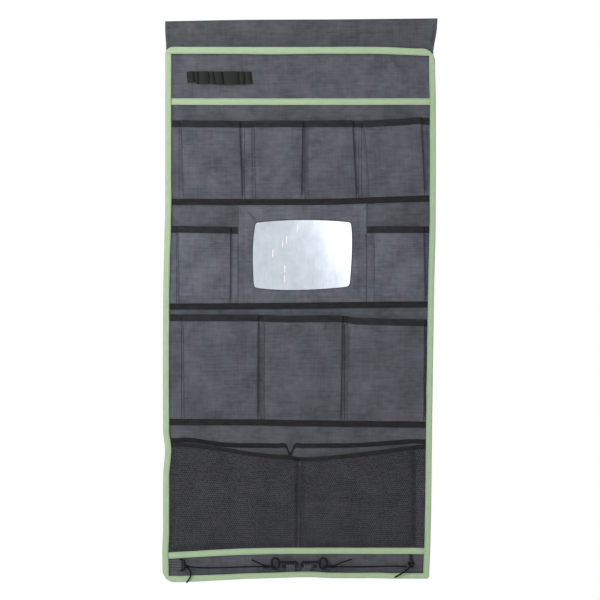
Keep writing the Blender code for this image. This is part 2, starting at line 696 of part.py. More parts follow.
def build_base_tapes():
    black = (BLACK_TAPE, 0.8)
    tape("upper_base_tape", UPPER_BASE_CENTRE, BASE_TAPE_WIDTH, BAND_BACK, BAND_FRONT, black)
    tape("middle_base_tape", MIDDLE_BASE_CENTRE, BASE_TAPE_WIDTH, BAND_BACK, BAND_FRONT, black)
    tape("lower_base_tape", LOWER_BASE_CENTRE, BASE_TAPE_WIDTH, BAND_BACK, BAND_FRONT, black)
    tape("mesh_rear_tape", REAR_TAPE_CENTRE, REAR_TAPE_WIDTH, FLANGE_BACK, FLANGE_FRONT, black)
    tape("bottom_trim", BOTTOM_TRIM_CENTRE, TRIM_WIDTH, BAND_BACK, BAND_FRONT, (GREEN_TAPE, 0.75))


# Mirror

def mirror_outline(margin, corner):
    middle = height(MIRROR_CENTRE)
    half_width = MIRROR_VIEW_WIDTH / 2 + margin
    half_height = MIRROR_VIEW_HEIGHT / 2 + margin
    return rounded_rectangle(MIRROR_CENTRE_X - half_width, MIRROR_CENTRE_X + half_width,
                             middle - half_height, middle + half_height, (corner,) * 4)


def build_mirror():
    """Mirror sheet against the panel, and the cloth frame that steps over its edge."""
    mirror_front = FLANGE_BACK - MIRROR_THICKNESS
    plate("mirror_sheet", mirror_outline(MIRROR_OVERLAP, MIRROR_CORNER), FLANGE_BACK, mirror_front,
          (SILVER, 0.05, 1.0))

    raised_back = mirror_front - SEWN_GAP
    step_start = MIRROR_OVERLAP + MIRROR_STEP_GAP
    frame_outer = rounded_rectangle(
        MIRROR_CENTRE_X - FRAME_WIDTH / 2, MIRROR_CENTRE_X + FRAME_WIDTH / 2,
        height(MIDDLE_BASE_CENTRE) + SEWN_GAP, height(UPPER_BASE_CENTRE) - SEWN_GAP, (SHARP_CORNER,) * 4)
    rings = (
        (frame_outer, FLANGE_BACK),
        (mirror_outline(step_start + MIRROR_STEP_RUN, MIRROR_CORNER), FLANGE_BACK),
        (mirror_outline(step_start, MIRROR_CORNER), raised_back),
        (mirror_outline(0.0, MIRROR_CORNER), raised_back),
    )
    count = len(frame_outer)
    points = [(x, back, z) for outline, back in rings for x, z in outline]
    points += [(x, back - CLOTH, z) for outline, back in reversed(rings) for x, z in outline]
    faces = []
    loops = 2 * len(rings)
    for index in range(loops):
        this, following = index * count, ((index + 1) % loops) * count
        for near in range(count):
            far = (near + 1) % count
            faces.append((this + near, this + far, following + far, following + near))
    mesh_object("mirror_frame", points, faces, (GREY_CLOTH, 0.85))


# Hooks, cords and the tabs that hold them

def hook_eye_outline(eye_x):
    """Middle line of the hook's oval eye, upright in the XZ plane."""
    half_width = (HOOK_EYE_WIDTH - HOOK_ROD) / 2
    half_height = (HOOK_EYE_HEIGHT - HOOK_ROD) / 2
    middle = CORD_LINE_Z + HOOK_EYE_ABOVE_LINE
    straight = half_height - half_width
    upper = arc(eye_x, middle + straight, half_width, 0, 180, 8)
    lower = arc(eye_x, middle - straight, half_width, 180, 360, 8)
    return [(x, CORD_LINE_Y, z) for x, z in upper + lower]


def hook_return_line(eye_x, inward):
    """Middle line of the shank, the curl and the bar that lies in the webbing tab."""
    radius = HOOK_RISE / 2
    eye_edge = eye_x + inward * (HOOK_EYE_WIDTH - HOOK_ROD) / 2
    curl_x = eye_x + inward * (HOOK_LENGTH - ROD_RADIUS - radius)
    bar_end = eye_x + inward * (HOOK_EYE_WIDTH / 2 + HOOK_MOUTH)
    upper = CORD_LINE_Z + HOOK_RISE
    line = [(eye_edge, upper), ((eye_edge + curl_x) / 2, upper)]
    turn = arc(0.0, CORD_LINE_Z + radius, radius, 90, -90, 8)
    line += [(curl_x + inward * u, v) for u, v in turn]
    line += [((curl_x + bar_end) / 2, CORD_LINE_Z), (bar_end, CORD_LINE_Z)]
    return [(x, CORD_LINE_Y, z) for x, z in line]


def build_hook(side, eye_x, inward):
    """Moulded hook: eye for the cord, shank over the tab, curl and bar through the tab."""
    eye = tube_mesh(hook_eye_outline(eye_x), ROD_RADIUS, closed=True)
    shank = tube_mesh(hook_return_line(eye_x, inward), ROD_RADIUS)
    hook = fused(f"{side}_hook", [eye, shank], (BLACK_PLASTIC, 0.35))
    hinge_origin(hook, (eye_x, CORD_LINE_Y, CORD_LINE_Z))


def knot_shell(centre_x, length, radius):
    """Barrel of two turns of cord, round the cord line."""
    profile = [(-along, share) for along, share in reversed(KNOT_WAIST_TO_END[1:])]
    profile += KNOT_WAIST_TO_END
    sides = 10
    points = []
    for along, share in profile:
        for step in range(sides):
            angle = 2 * math.pi * step / sides
            points.append((centre_x + along * length, CORD_LINE_Y + radius * share * math.cos(angle),
                           CORD_LINE_Z + radius * share * math.sin(angle)))
    faces = []
    for ring in range(len(profile) - 1):
        for step in range(sides):
            after = (step + 1) % sides
            base, top = ring * sides, (ring + 1) * sides
            faces.append((base + step, base + after, top + after, top + step))
    faces.append(tuple(range(sides)))
    faces.append(tuple(range((len(profile) - 1) * sides, len(profile) * sides)))
    return points, faces


def tail_shell(start_x, route):
    """Loose end of a cord, from inside its knot."""
    points = [(start_x + x, CORD_LINE_Y + y, CORD_LINE_Z + z) for x, y, z in route]
    return tube_mesh(smooth_route(points, ROUTE_SPACING), CORD_RADIUS)


def build_hook_knot(side, eye_x, inward, tail):
    """Knot, the loop of cord round the hook's eye, and the loose end."""
    rod_x = eye_x - inward * (HOOK_EYE_WIDTH - HOOK_ROD) / 2
    reach = ROD_RADIUS + CORD_RADIUS + KNOT_LOOP_SLACK
    width = ROD_RADIUS + CORD_RADIUS + 2 * SEWN_GAP
    loop = [(rod_x + reach * math.cos(angle), CORD_LINE_Y + width * math.sin(angle), CORD_LINE_Z)
            for angle in (2 * math.pi * step / 16 for step in range(16))]
    knot_x = rod_x - inward * (reach + KNOT_LENGTH / 2 - CORD_RADIUS)
    shells = [
        knot_shell(knot_x, KNOT_LENGTH, KNOT_RADIUS),
        tube_mesh(loop, CORD_RADIUS, closed=True),
        tail_shell(knot_x - inward * KNOT_LENGTH * HOOK_TAIL_START, tail),
    ]
    knot = fused(f"{side}_hook_knot", shells, (BLACK_CORD, 0.7))
    hinge_origin(knot, (knot_x, CORD_LINE_Y, CORD_LINE_Z))
    return knot_x - inward * KNOT_LENGTH / 2


def build_hook_tab(side, x_low, slant):
    """Webbing folded round the hook's bar, its ends under the bottom binding."""
    binding_top = PANEL_BOTTOM + EDGE_BINDING_WIDTH
    radius = ROD_RADIUS + SEWN_GAP + WEBBING / 2
    rear_y = FLANGE_BACK - WEBBING / 2
    front_y = rear_y - WEBBING - 2 * SEWN_GAP
    line = [(rear_y, binding_top - TAB_UNDER_BINDING), (rear_y, binding_top + TAB_LEAF_RISE)]
    line += arc(CORD_LINE_Y, CORD_LINE_Z, radius, -30, 215, 12)
    line.append((front_y, binding_top + 1.5 * TAB_LEAF_RISE))
    offsets = (0.0, HOOK_TAB_WIDTH)

    def place(u, v, index):
        lean = slant * (v - CORD_LINE_Z) / (CORD_LINE_Z - binding_top)
        return Vector((x_low + offsets[index] + min(lean, 0.0), u, v))

    ribbon(f"{side}_hook_tab", [line, line], place, WEBBING, (GREY_WEBBING, 0.8))


def build_left_end():
    """Webbing tab from under the side binding, and the knotted cord loop through it."""
    middle = height(LEFT_TAB_CENTRE)
    rear_y = FLANGE_BACK - WEBBING / 2
    radius = CORD_RADIUS + SEWN_GAP + WEBBING / 2
    tunnel_y = rear_y - radius
    front_y = rear_y - WEBBING - SEWN_GAP
    binding_edge = -PANEL_WIDTH / 2 + EDGE_BINDING_WIDTH
    line = [(-CLOTH_EDGE, rear_y)]
    line += arc(LEFT_TAB_LOOP_X, tunnel_y, radius, 90, -90, 8)
    line += [(LEFT_TAB_LOOP_X - LEFT_TAB_BULGE, front_y - CORD_SLACK),
             (binding_edge + 1.5 * TAB_LEAF_RISE, front_y)]
    levels = (middle - LEFT_TAB_HEIGHT / 2, middle + LEFT_TAB_HEIGHT / 2)
    ribbon("left_cord_tab", [line, line], lambda u, v, index: Vector((u, v, levels[index])),
           WEBBING, (GREY_WEBBING, 0.8))

    bend = CORD_DIAMETER
    low, high = levels[0] - CORD_SLACK, levels[1] + CORD_SLACK
    shoulder = 0.7 * bend
    strand = LEFT_TAB_LOOP_X + LEFT_LOOP_SPREAD
    near_tab, near_strand = LEFT_TAB_LOOP_X + LOOP_ROUNDING, strand - LOOP_ROUNDING
    loop = [
        (LEFT_TAB_LOOP_X, tunnel_y, low), (LEFT_TAB_LOOP_X, tunnel_y, (low + high) / 2),
        (LEFT_TAB_LOOP_X, tunnel_y, high), (near_tab, tunnel_y - LOOP_TURN_IN, high + shoulder),
        ((LEFT_TAB_LOOP_X + strand) / 2, (tunnel_y + CORD_LINE_Y) / 2, high + bend),
        (near_strand, CORD_LINE_Y + LOOP_TURN_IN, high + shoulder),
        (strand, CORD_LINE_Y, high - LOOP_ROUNDING),
        (strand, CORD_LINE_Y, CORD_LINE_Z), (strand, CORD_LINE_Y, low + LOOP_ROUNDING),
        (near_strand, CORD_LINE_Y + LOOP_TURN_IN, low - shoulder),
        ((LEFT_TAB_LOOP_X + strand) / 2, (tunnel_y + CORD_LINE_Y) / 2, low - bend),
        (near_tab, tunnel_y - LOOP_TURN_IN, low - shoulder),
    ]
    shells = [
        knot_shell(LEFT_END_KNOT_X, LEFT_END_KNOT_LENGTH, KNOT_RADIUS),
        tube_mesh(loop, CORD_RADIUS, closed=True),
        tail_shell(LEFT_END_KNOT_X, LEFT_END_TAIL),
    ]
    fused("left_end_knot", shells, (BLACK_CORD, 0.7))
    return LEFT_END_KNOT_X + LEFT_END_KNOT_LENGTH / 2


def build_right_end():
    """Tape loop from under the bottom trim, and the knotted cord loop through it."""
    trim_bottom = height(BOTTOM_TRIM_CENTRE) - TRIM_WIDTH / 2
    tunnel_z = height(RIGHT_LOOP_CENTRE)
    radius = CORD_RADIUS + SEWN_GAP + TAPE / 2
    rear_y = FLANGE_MIDDLE
    tunnel_y = rear_y - radius
    line = [(rear_y, trim_bottom + RIGHT_LOOP_UNDER_TRIM)]
    line += arc(tunnel_y, tunnel_z, radius, 0, -180, 8)
    line.append((rear_y - TAPE - SEWN_GAP, trim_bottom - TAB_LEAF_RISE))
    stations = (RIGHT_LOOP_X - RIGHT_LOOP_WIDTH / 2, RIGHT_LOOP_X + RIGHT_LOOP_WIDTH / 2)
    ribbon("right_cord_loop", [line, line], lambda u, v, index: Vector((stations[index], u, v)),
           TAPE, (BLACK_TAPE, 0.8))

    half = RIGHT_LOOP_WIDTH / 2 + CORD_SLACK
    bend = RIGHT_LOOP_BEND
    middle_y, middle_z = (tunnel_y + CORD_LINE_Y) / 2, (tunnel_z + CORD_LINE_Z) / 2
    loop = [
        (RIGHT_LOOP_X - half, tunnel_y, tunnel_z), (RIGHT_LOOP_X, tunnel_y, tunnel_z),
        (RIGHT_LOOP_X + half, tunnel_y, tunnel_z), (RIGHT_LOOP_X + half + bend, middle_y, middle_z),
        (RIGHT_LOOP_X + half, CORD_LINE_Y, CORD_LINE_Z), (RIGHT_LOOP_X, CORD_LINE_Y, CORD_LINE_Z),
        (RIGHT_LOOP_X - half, CORD_LINE_Y, CORD_LINE_Z), (RIGHT_LOOP_X - half - bend, middle_y, middle_z),
    ]
    shells = [
        knot_shell(RIGHT_LOOP_X, RIGHT_END_KNOT_LENGTH, KNOT_RADIUS),
        tube_mesh(loop, CORD_RADIUS, closed=True),
        tail_shell(RIGHT_LOOP_X - RIGHT_TAIL_INSET, RIGHT_END_TAIL),
    ]
    fused("right_end_knot", shells, (BLACK_CORD, 0.7))
    return RIGHT_LOOP_X - half - bend - CORD_RADIUS


def build_cord(name, start_x, end_x, route):
    """Free length of shock cord between two knots, stretched to its ends."""
    share = (end_x - start_x) / route[-1][0]
    points = [(start_x + x * share, CORD_LINE_Y + y, CORD_LINE_Z + z) for x, y, z in route]
    curve = bpy.data.curves.new(name, "CURVE")
    curve.dimensions = "3D"
    curve.bevel_depth = CORD_RADIUS
    curve.bevel_resolution = 2
    curve.use_fill_caps = True
    dense = smooth_route(points, ROUTE_SPACING)
    spline = curve.splines.new("POLY")
    spline.points.add(len(dense) - 1)
    for spot, point in zip(spline.points, dense):
        spot.co = (*point, 1.0)
    curve.materials.append(make_material(name, BLACK_CORD, 0.7))
    bpy.context.scene.collection.objects.link(bpy.data.objects.new(name, curve))


def build_cords():
    """Both cords with their hooks, tabs and knots."""
    build_hook("left", LEFT_EYE_X, 1)
    build_hook("right", RIGHT_EYE_X, -1)
    bend = HOOK_LENGTH - ROD_RADIUS - HOOK_RISE / 2
    left_bar_start = LEFT_EYE_X + bend
    right_bar_start = RIGHT_EYE_X - bend
    build_hook_tab("left", left_bar_start - HOOK_TAB_SIDE_PLAY - HOOK_TAB_WIDTH, 0.0)
    build_hook_tab("right", right_bar_start + HOOK_TAB_SIDE_PLAY, RIGHT_TAB_SLANT)
    left_inner = build_hook_knot("left", LEFT_EYE_X, 1, LEFT_HOOK_TAIL)
    right_inner = build_hook_knot("right", RIGHT_EYE_X, -1, RIGHT_HOOK_TAIL)
    left_outer = build_left_end()
    right_outer = build_right_end()
    build_cord("left_shock_cord", left_outer + SEWN_GAP, left_inner - SEWN_GAP, LEFT_CORD_ROUTE)
    build_cord("right_shock_cord", right_inner + SEWN_GAP, right_outer - SEWN_GAP, RIGHT_CORD_ROUTE)


def clear_scene():
    for existing in list(bpy.data.objects):
        bpy.data.objects.remove(existing)


def main():
    clear_scene()
    build_panel()
    build_edge_binding()
    build_header()
    build_tool_loops()
    build_sleeve()
    build_pockets()
    build_base_tapes()
    build_mirror()
    build_cords()


main()
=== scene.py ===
"""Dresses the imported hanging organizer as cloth, tape, net, cord and moulded hooks, and sets its picture.

Lengths are in metres: x to the right, y away from the camera, z up from the middle of the pole's tunnel.
Lines and edges were measured in the photograph. Depths come from the part's source, as a front view
shows none.
"""

import logging
import math
from collections.abc import Callable, Iterable, Mapping, Sequence
from dataclasses import dataclass, field
from enum import Enum

import bpy
import numpy as np
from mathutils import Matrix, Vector, noise


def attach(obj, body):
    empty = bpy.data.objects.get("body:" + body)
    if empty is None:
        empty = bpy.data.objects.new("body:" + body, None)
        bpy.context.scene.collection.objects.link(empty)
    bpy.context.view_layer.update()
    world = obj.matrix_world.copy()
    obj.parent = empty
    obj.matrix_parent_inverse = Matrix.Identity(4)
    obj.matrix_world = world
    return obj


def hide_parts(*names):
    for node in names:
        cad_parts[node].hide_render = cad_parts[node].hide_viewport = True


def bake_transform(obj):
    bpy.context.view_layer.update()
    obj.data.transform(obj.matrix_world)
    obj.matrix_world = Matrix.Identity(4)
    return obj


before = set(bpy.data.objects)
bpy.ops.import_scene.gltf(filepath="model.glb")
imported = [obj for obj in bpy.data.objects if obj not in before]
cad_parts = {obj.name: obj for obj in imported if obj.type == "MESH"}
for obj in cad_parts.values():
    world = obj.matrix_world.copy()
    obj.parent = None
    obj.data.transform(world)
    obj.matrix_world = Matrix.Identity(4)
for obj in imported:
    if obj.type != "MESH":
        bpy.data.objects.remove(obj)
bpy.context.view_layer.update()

LOG = logging.getLogger("organizer")

PANEL_HALF_WIDTH = 0.240
PANEL_TOP = -0.0250
PANEL_BOTTOM = -0.9740
CLOTH_EDGE = 0.2392
CLOTH_THICKNESS = 0.0005
PANEL_THICKNESS = 0.0012
TAPE_THICKNESS = 0.0005
PANEL_MIDDLE = -0.0006
FLANGE_MIDDLE = -0.00175
BAND_MIDDLE = -0.00255
CORD_LINE = -0.9515
CORD_RADIUS = 0.0014
CORD_DEPTH = -0.0086

Pair = tuple[float, float]
Triple = tuple[float, float, float]
Colour = tuple[int, int, int]


class Body(Enum):
    """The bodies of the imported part."""

    ORGANIZER = "organizer"
    FLAP = "sleeve_flap"
    LEFT_HOOK = "left_hook"
    RIGHT_HOOK = "right_hook"


class Slot(Enum):
    """The finishes that the record names."""

    GREY_CLOTH = "grey_cloth"
    GREEN_TAPE = "green_tape"
    BLACK_TAPE = "black_tape"
    BLACK_ELASTIC = "black_elastic"
    BLACK_NET = "black_net"
    GREY_WEBBING = "grey_webbing"
    BLACK_CORD = "black_cord"
    BLACK_PLASTIC = "black_plastic"
    MIRROR_PLASTIC = "mirror_plastic"
    HOOK_AND_LOOP = "hook_and_loop"


def ease(share: float) -> float:
    """Returns the share of a run from 0 to 1, with a soft start and a soft end."""
    share = min(max(share, 0.0), 1.0)
    return share * share * (3.0 - 2.0 * share)


def mix(low: float, high: float, share: float) -> float:
    """Returns the value at a share of the way from low to high."""
    return low + (high - low) * share


def steps(start: float, end: float, spacing: float) -> list[float]:
    """Returns even values from start to end that lie no further apart than the spacing."""
    count = max(1, math.ceil(abs(end - start) / spacing))
    return [mix(start, end, index / count) for index in range(count + 1)]


def hump(distance: float, width: float) -> float:
    """Returns a soft bump's height, 1 at its middle and nearly 0 beyond twice its width."""
    return math.exp(-((distance / width) ** 2))


def soft_noise(x: float, z: float, layer: float = 0.0) -> float:
    """Returns smooth noise from about -1 to 1 at a place."""
    return noise.noise((x, z, layer))


def forward(points: Iterable[Vector], distance: float) -> list[Vector]:
    """Returns points moved towards the camera."""
    return [point - Vector((0.0, distance, 0.0)) for point in points]


def distances(points: Sequence[Vector]) -> list[float]:
    """Returns how far along their line each of some points lies."""
    found = [0.0]
    for before, after in zip(points, points[1:]):
        found.append(found[-1] + (after - before).length)
    return found


@dataclass(frozen=True)
class Wander:
    """A smooth line through measured places, level beyond its two ends."""

    places: tuple[Pair, ...]

    def slope(self, index: int) -> float:
        """Returns the line's slope at one of its places."""
        before = self.places[max(index - 1, 0)]
        after = self.places[min(index + 1, len(self.places) - 1)]
        return (after[1] - before[1]) / (after[0] - before[0])

    def at(self, where: float) -> float:
        """Returns the line's value.

        Args:
            where: the place along the line.

        Returns:
            The value there.
        """
        if where <= self.places[0][0]:
            return self.places[0][1]
        if where >= self.places[-1][0]:
            return self.places[-1][1]
        index = 0
        while self.places[index + 1][0] < where:
            index += 1
        (start, low), (end, high) = self.places[index], self.places[index + 1]
        run = end - start
        share = (where - start) / run
        rise_in = self.slope(index) * run
        rise_out = self.slope(index + 1) * run
        square, cube = share**2, share**3
        return (
            (2 * cube - 3 * square + 1) * low
            + (cube - 2 * square + share) * rise_in
            + (3 * square - 2 * cube) * high
            + (cube - square) * rise_out
        )


def through(*places: Pair) -> Wander:
    """Returns the smooth line through some places."""
    return Wander(places)


@dataclass(frozen=True)
class Crease:
    """A line where the hanging cloth is folded forward or pressed back."""

    start: Pair
    end: Pair
    height: float
    width: float = 0.003

    def at(self, x: float, z: float) -> float:
        """Returns how far the crease brings the cloth forward at a place."""
        run = (self.end[0] - self.start[0], self.end[1] - self.start[1])
        length = math.hypot(*run)
        along = ((x - self.start[0]) * run[0] + (z - self.start[1]) * run[1]) / length
        if not 0.0 < along < length:
            return 0.0
        across = ((x - self.start[0]) * run[1] - (z - self.start[1]) * run[0]) / length
        return self.height * math.sin(math.pi * along / length) * hump(across, self.width)


@dataclass(frozen=True)
class Hang:
    """How the flat organizer hangs: its edges wander, and its cloth waves to and from the camera."""

    left: Wander
    right: Wander
    bottom: Wander
    top: Wander
    creases: tuple[Crease, ...] = ()
    side_reach: float = 0.024
    level_reach: float = 0.020
    top_fade: Pair = (-0.012, -0.045)
    bottom_fade: Pair = (-0.955, -0.925)
    mirror_centre: Pair = (0.0042, -0.3955)
    mirror_reach: Pair = (0.115, 0.095)
    mirror_fade: float = 0.03
    mirror_stillness: float = 0.95
    # Height, scale across, scale up and noise layer of the large, the middle and the small waves
    waves: tuple[tuple[float, float, float, float], ...] = (
        (0.0026, 4.5, 3.5, 0.0), (0.0014, 19.0, 13.0, 3.0), (0.00026, 65.0, 42.0, 7.0),
    )

    def stillness(self, x: float, z: float) -> float:
        """Returns the share of the waves left at a place: the foot, the head and the mirror lie still."""
        head = ease((self.top_fade[0] - z) / (self.top_fade[0] - self.top_fade[1]))
        foot = ease((z - self.bottom_fade[0]) / (self.bottom_fade[1] - self.bottom_fade[0]))
        beside = ease((self.mirror_reach[0] - abs(x - self.mirror_centre[0])) / self.mirror_fade)
        above = ease((self.mirror_reach[1] - abs(z - self.mirror_centre[1])) / self.mirror_fade)
        return head * foot * (1.0 - self.mirror_stillness * beside * above)

    def relief(self, x: float, z: float) -> float:
        """Returns how far the waves and the creases bring the cloth forward at a place."""
        waves = 0.0
        for height, across, up, layer in self.waves:
            waves += height * soft_noise(x * across, z * up, layer)
        folds = sum(crease.at(x, z) for crease in self.creases)
        return waves * self.stillness(x, z) + folds

    def wave(self, x: float, y: float, z: float) -> Vector:
        """Returns a point brought forward by the waves, and not moved by the edges."""
        return Vector((x, y - self.relief(x, z), z))

    def place(self, x: float, y: float, z: float) -> Vector:
        """Returns a point of the flat cloth at its place in the hanging cloth.

        Args:
            x: the flat place across.
            y: the flat depth.
            z: the flat place up.

        Returns:
            The hanging point.
        """
        side = self.left.at(z) * ease(1.0 - (x + PANEL_HALF_WIDTH) / self.side_reach)
        side += self.right.at(z) * ease(1.0 - (PANEL_HALF_WIDTH - x) / self.side_reach)
        level = self.bottom.at(x) * ease(1.0 - (z - PANEL_BOTTOM) / self.level_reach)
        level += self.top.at(x) * ease(1.0 - (PANEL_TOP - z) / self.level_reach)
        return Vector((x + side, y - self.relief(x, z), z + level))


HANG = Hang(
    left=through(
        (-0.9687, -0.0050), (-0.9240, -0.0058), (-0.8882, -0.0044), (-0.7899, -0.0040), (-0.7415, -0.0008),
        (-0.7093, -0.0042), (-0.4768, -0.0042), (-0.3873, -0.0024), (-0.3158, -0.0006),
    ),
    right=through(
        (-0.9634, -0.0101), (-0.9240, -0.0083), (-0.8346, -0.0065), (-0.6915, -0.0048), (-0.5662, -0.0030),
        (-0.4410, -0.0012), (-0.3515, 0.0012), (-0.1200, 0.0017), (-0.0653, 0.0004),
    ),
    bottom=through(
        (-0.212, -0.0055), (-0.171, -0.0037), (-0.105, -0.0001), (-0.050, 0.0017), (0.016, 0.0035),
        (0.056, 0.0017), (0.137, 0.0015), (0.164, 0.0008),
    ),
    top=through((-0.21, 0.0003), (0.0, 0.0), (0.144, 0.0), (0.2066, -0.0027)),
    creases=(
        Crease((-0.1240, -0.0480), (-0.0800, -0.0680), 0.0018),
        Crease((-0.0480, -0.0575), (-0.0160, -0.0600), 0.0008, 0.002),
        Crease((-0.0440, -0.0653), (-0.0180, -0.0640), -0.0008, 0.002),
        Crease((0.1490, -0.0350), (0.1930, -0.0840), 0.0050, 0.0060),
        Crease((0.1800, -0.0900), (0.2200, -0.1080), 0.0030, 0.0060),
        Crease((-0.0790, -0.3372), (-0.0960, -0.3180), 0.0046, 0.0021),
        Crease((-0.2250, -0.3955), (-0.2200, -0.4160), -0.0016, 0.005),
        Crease((0.0960, -0.3080), (0.1180, -0.3200), 0.0009, 0.003),
        Crease((0.0860, -0.4700), (0.1160, -0.4560), -0.0009, 0.003),
        Crease((-0.1060, -0.4560), (-0.0860, -0.4440), 0.0008, 0.003),
        Crease((0.1180, -0.3030), (0.1100, -0.3180), 0.0012, 0.002),
        Crease((-0.0098, -0.3070), (-0.0063, -0.3180), 0.0008, 0.002),
    ),
)

# The lines of the black tapes over the feet of the three cloth rows
UPPER_FOOT = through((-0.232, -0.3002), (-0.03, -0.3006), (0.06, -0.3000), (0.144, -0.2970), (0.226, -0.2943))
MIDDLE_FOOT = through((-0.232, -0.4875), (-0.10, -0.4868), (0.0, -0.4860), (0.10, -0.4847), (0.226, -0.4836))
LOWER_FOOT = through((-0.232, -0.6938), (-0.08, -0.6945), (0.0, -0.6960), (0.226, -0.6989))


@dataclass(frozen=True)
class Outline:
    """The hanging panel's edge, with a rounding at each corner."""

    top_left: float = 0.014
    top_right: float = 0.022
    bottom_left: float = 0.021
    bottom_right: float = 0.003

    @staticmethod
    def drop(distance: float, radius: float) -> float:
        """Returns how far a rounded corner falls away at a distance from its side."""
        distance = max(distance, 0.0)
        if distance >= radius:
            return 0.0
        return radius - math.sqrt(radius**2 - (radius - distance) ** 2)

    def left(self, z: float) -> float:
        """Returns the left edge's place, with its corners."""
        edge = -PANEL_HALF_WIDTH + HANG.left.at(z)
        above = self.drop(self.top_line(-PANEL_HALF_WIDTH) - z, self.top_left)
        return edge + above + self.drop(z - self.bottom_line(-PANEL_HALF_WIDTH), self.bottom_left)

    def right(self, z: float) -> float:
        """Returns the right edge's place, with its corners."""
        edge = PANEL_HALF_WIDTH + HANG.right.at(z)
        above = self.drop(self.top_line(PANEL_HALF_WIDTH) - z, self.top_right)
        return edge - above - self.drop(z - self.bottom_line(PANEL_HALF_WIDTH), self.bottom_right)

    def top_line(self, x: float) -> float:
        """Returns the top edge's height as if its corners were square."""
        return PANEL_TOP + HANG.top.at(x)

    def bottom_line(self, x: float) -> float:
        """Returns the bottom edge's height as if its corners were square."""
        return PANEL_BOTTOM + HANG.bottom.at(x)

    def top(self, x: float) -> float:
        """Returns the top edge's height, with its corners."""
        from_left = x - (-PANEL_HALF_WIDTH + HANG.left.at(PANEL_TOP))
        from_right = PANEL_HALF_WIDTH + HANG.right.at(PANEL_TOP) - x
        fall = self.drop(from_left, self.top_left) + self.drop(from_right, self.top_right)
        return self.top_line(x) - fall

    def bottom(self, x: float) -> float:
        """Returns the bottom edge's height, with its corners."""
        from_left = x - (-PANEL_HALF_WIDTH + HANG.left.at(PANEL_BOTTOM))
        from_right = PANEL_HALF_WIDTH + HANG.right.at(PANEL_BOTTOM) - x
        fall = self.drop(from_left, self.bottom_left) + self.drop(from_right, self.bottom_right)
        return self.bottom_line(x) + fall


OUTLINE = Outline()


# Shader graphs and finishes


def shade(colour: Sequence[float], factor: float = 1.0) -> tuple[float, float, float, float]:
    """Returns a colour read from the photograph as the light values that a shader takes.

    Args:
        colour: red, green and blue from 0 to 255.
        factor: what the light values are multiplied by.

    Returns:
        Red, green, blue and alpha.
    """
    values = []
    for channel in colour:
        share = channel / 255.0
        light = share / 12.92 if share <= 0.04045 else ((share + 0.055) / 1.055) ** 2.4
        values.append(min(light * factor, 1.0))
    return (*values, 1.0)


def add_node(tree: bpy.types.NodeTree, kind: str, inputs: Mapping, **settings: object) -> bpy.types.Node:
    """Adds a shader node with its inputs set or joined.

    Args:
        tree: the nodes of the material or of the surroundings.
        kind: the node's kind, without the words that every kind begins with.
        inputs: what each input takes, a plain value or another node's output.
        settings: the node's other settings.

    Returns:
        The node.
    """
    node = tree.nodes.new(f"ShaderNode{kind}")
    for setting, value in settings.items():
        setattr(node, setting, value)
    for name, value in inputs.items():
        if isinstance(value, bpy.types.NodeSocket):
            tree.links.new(value, node.inputs[name])
        else:
            node.inputs[name].default_value = value
    return node


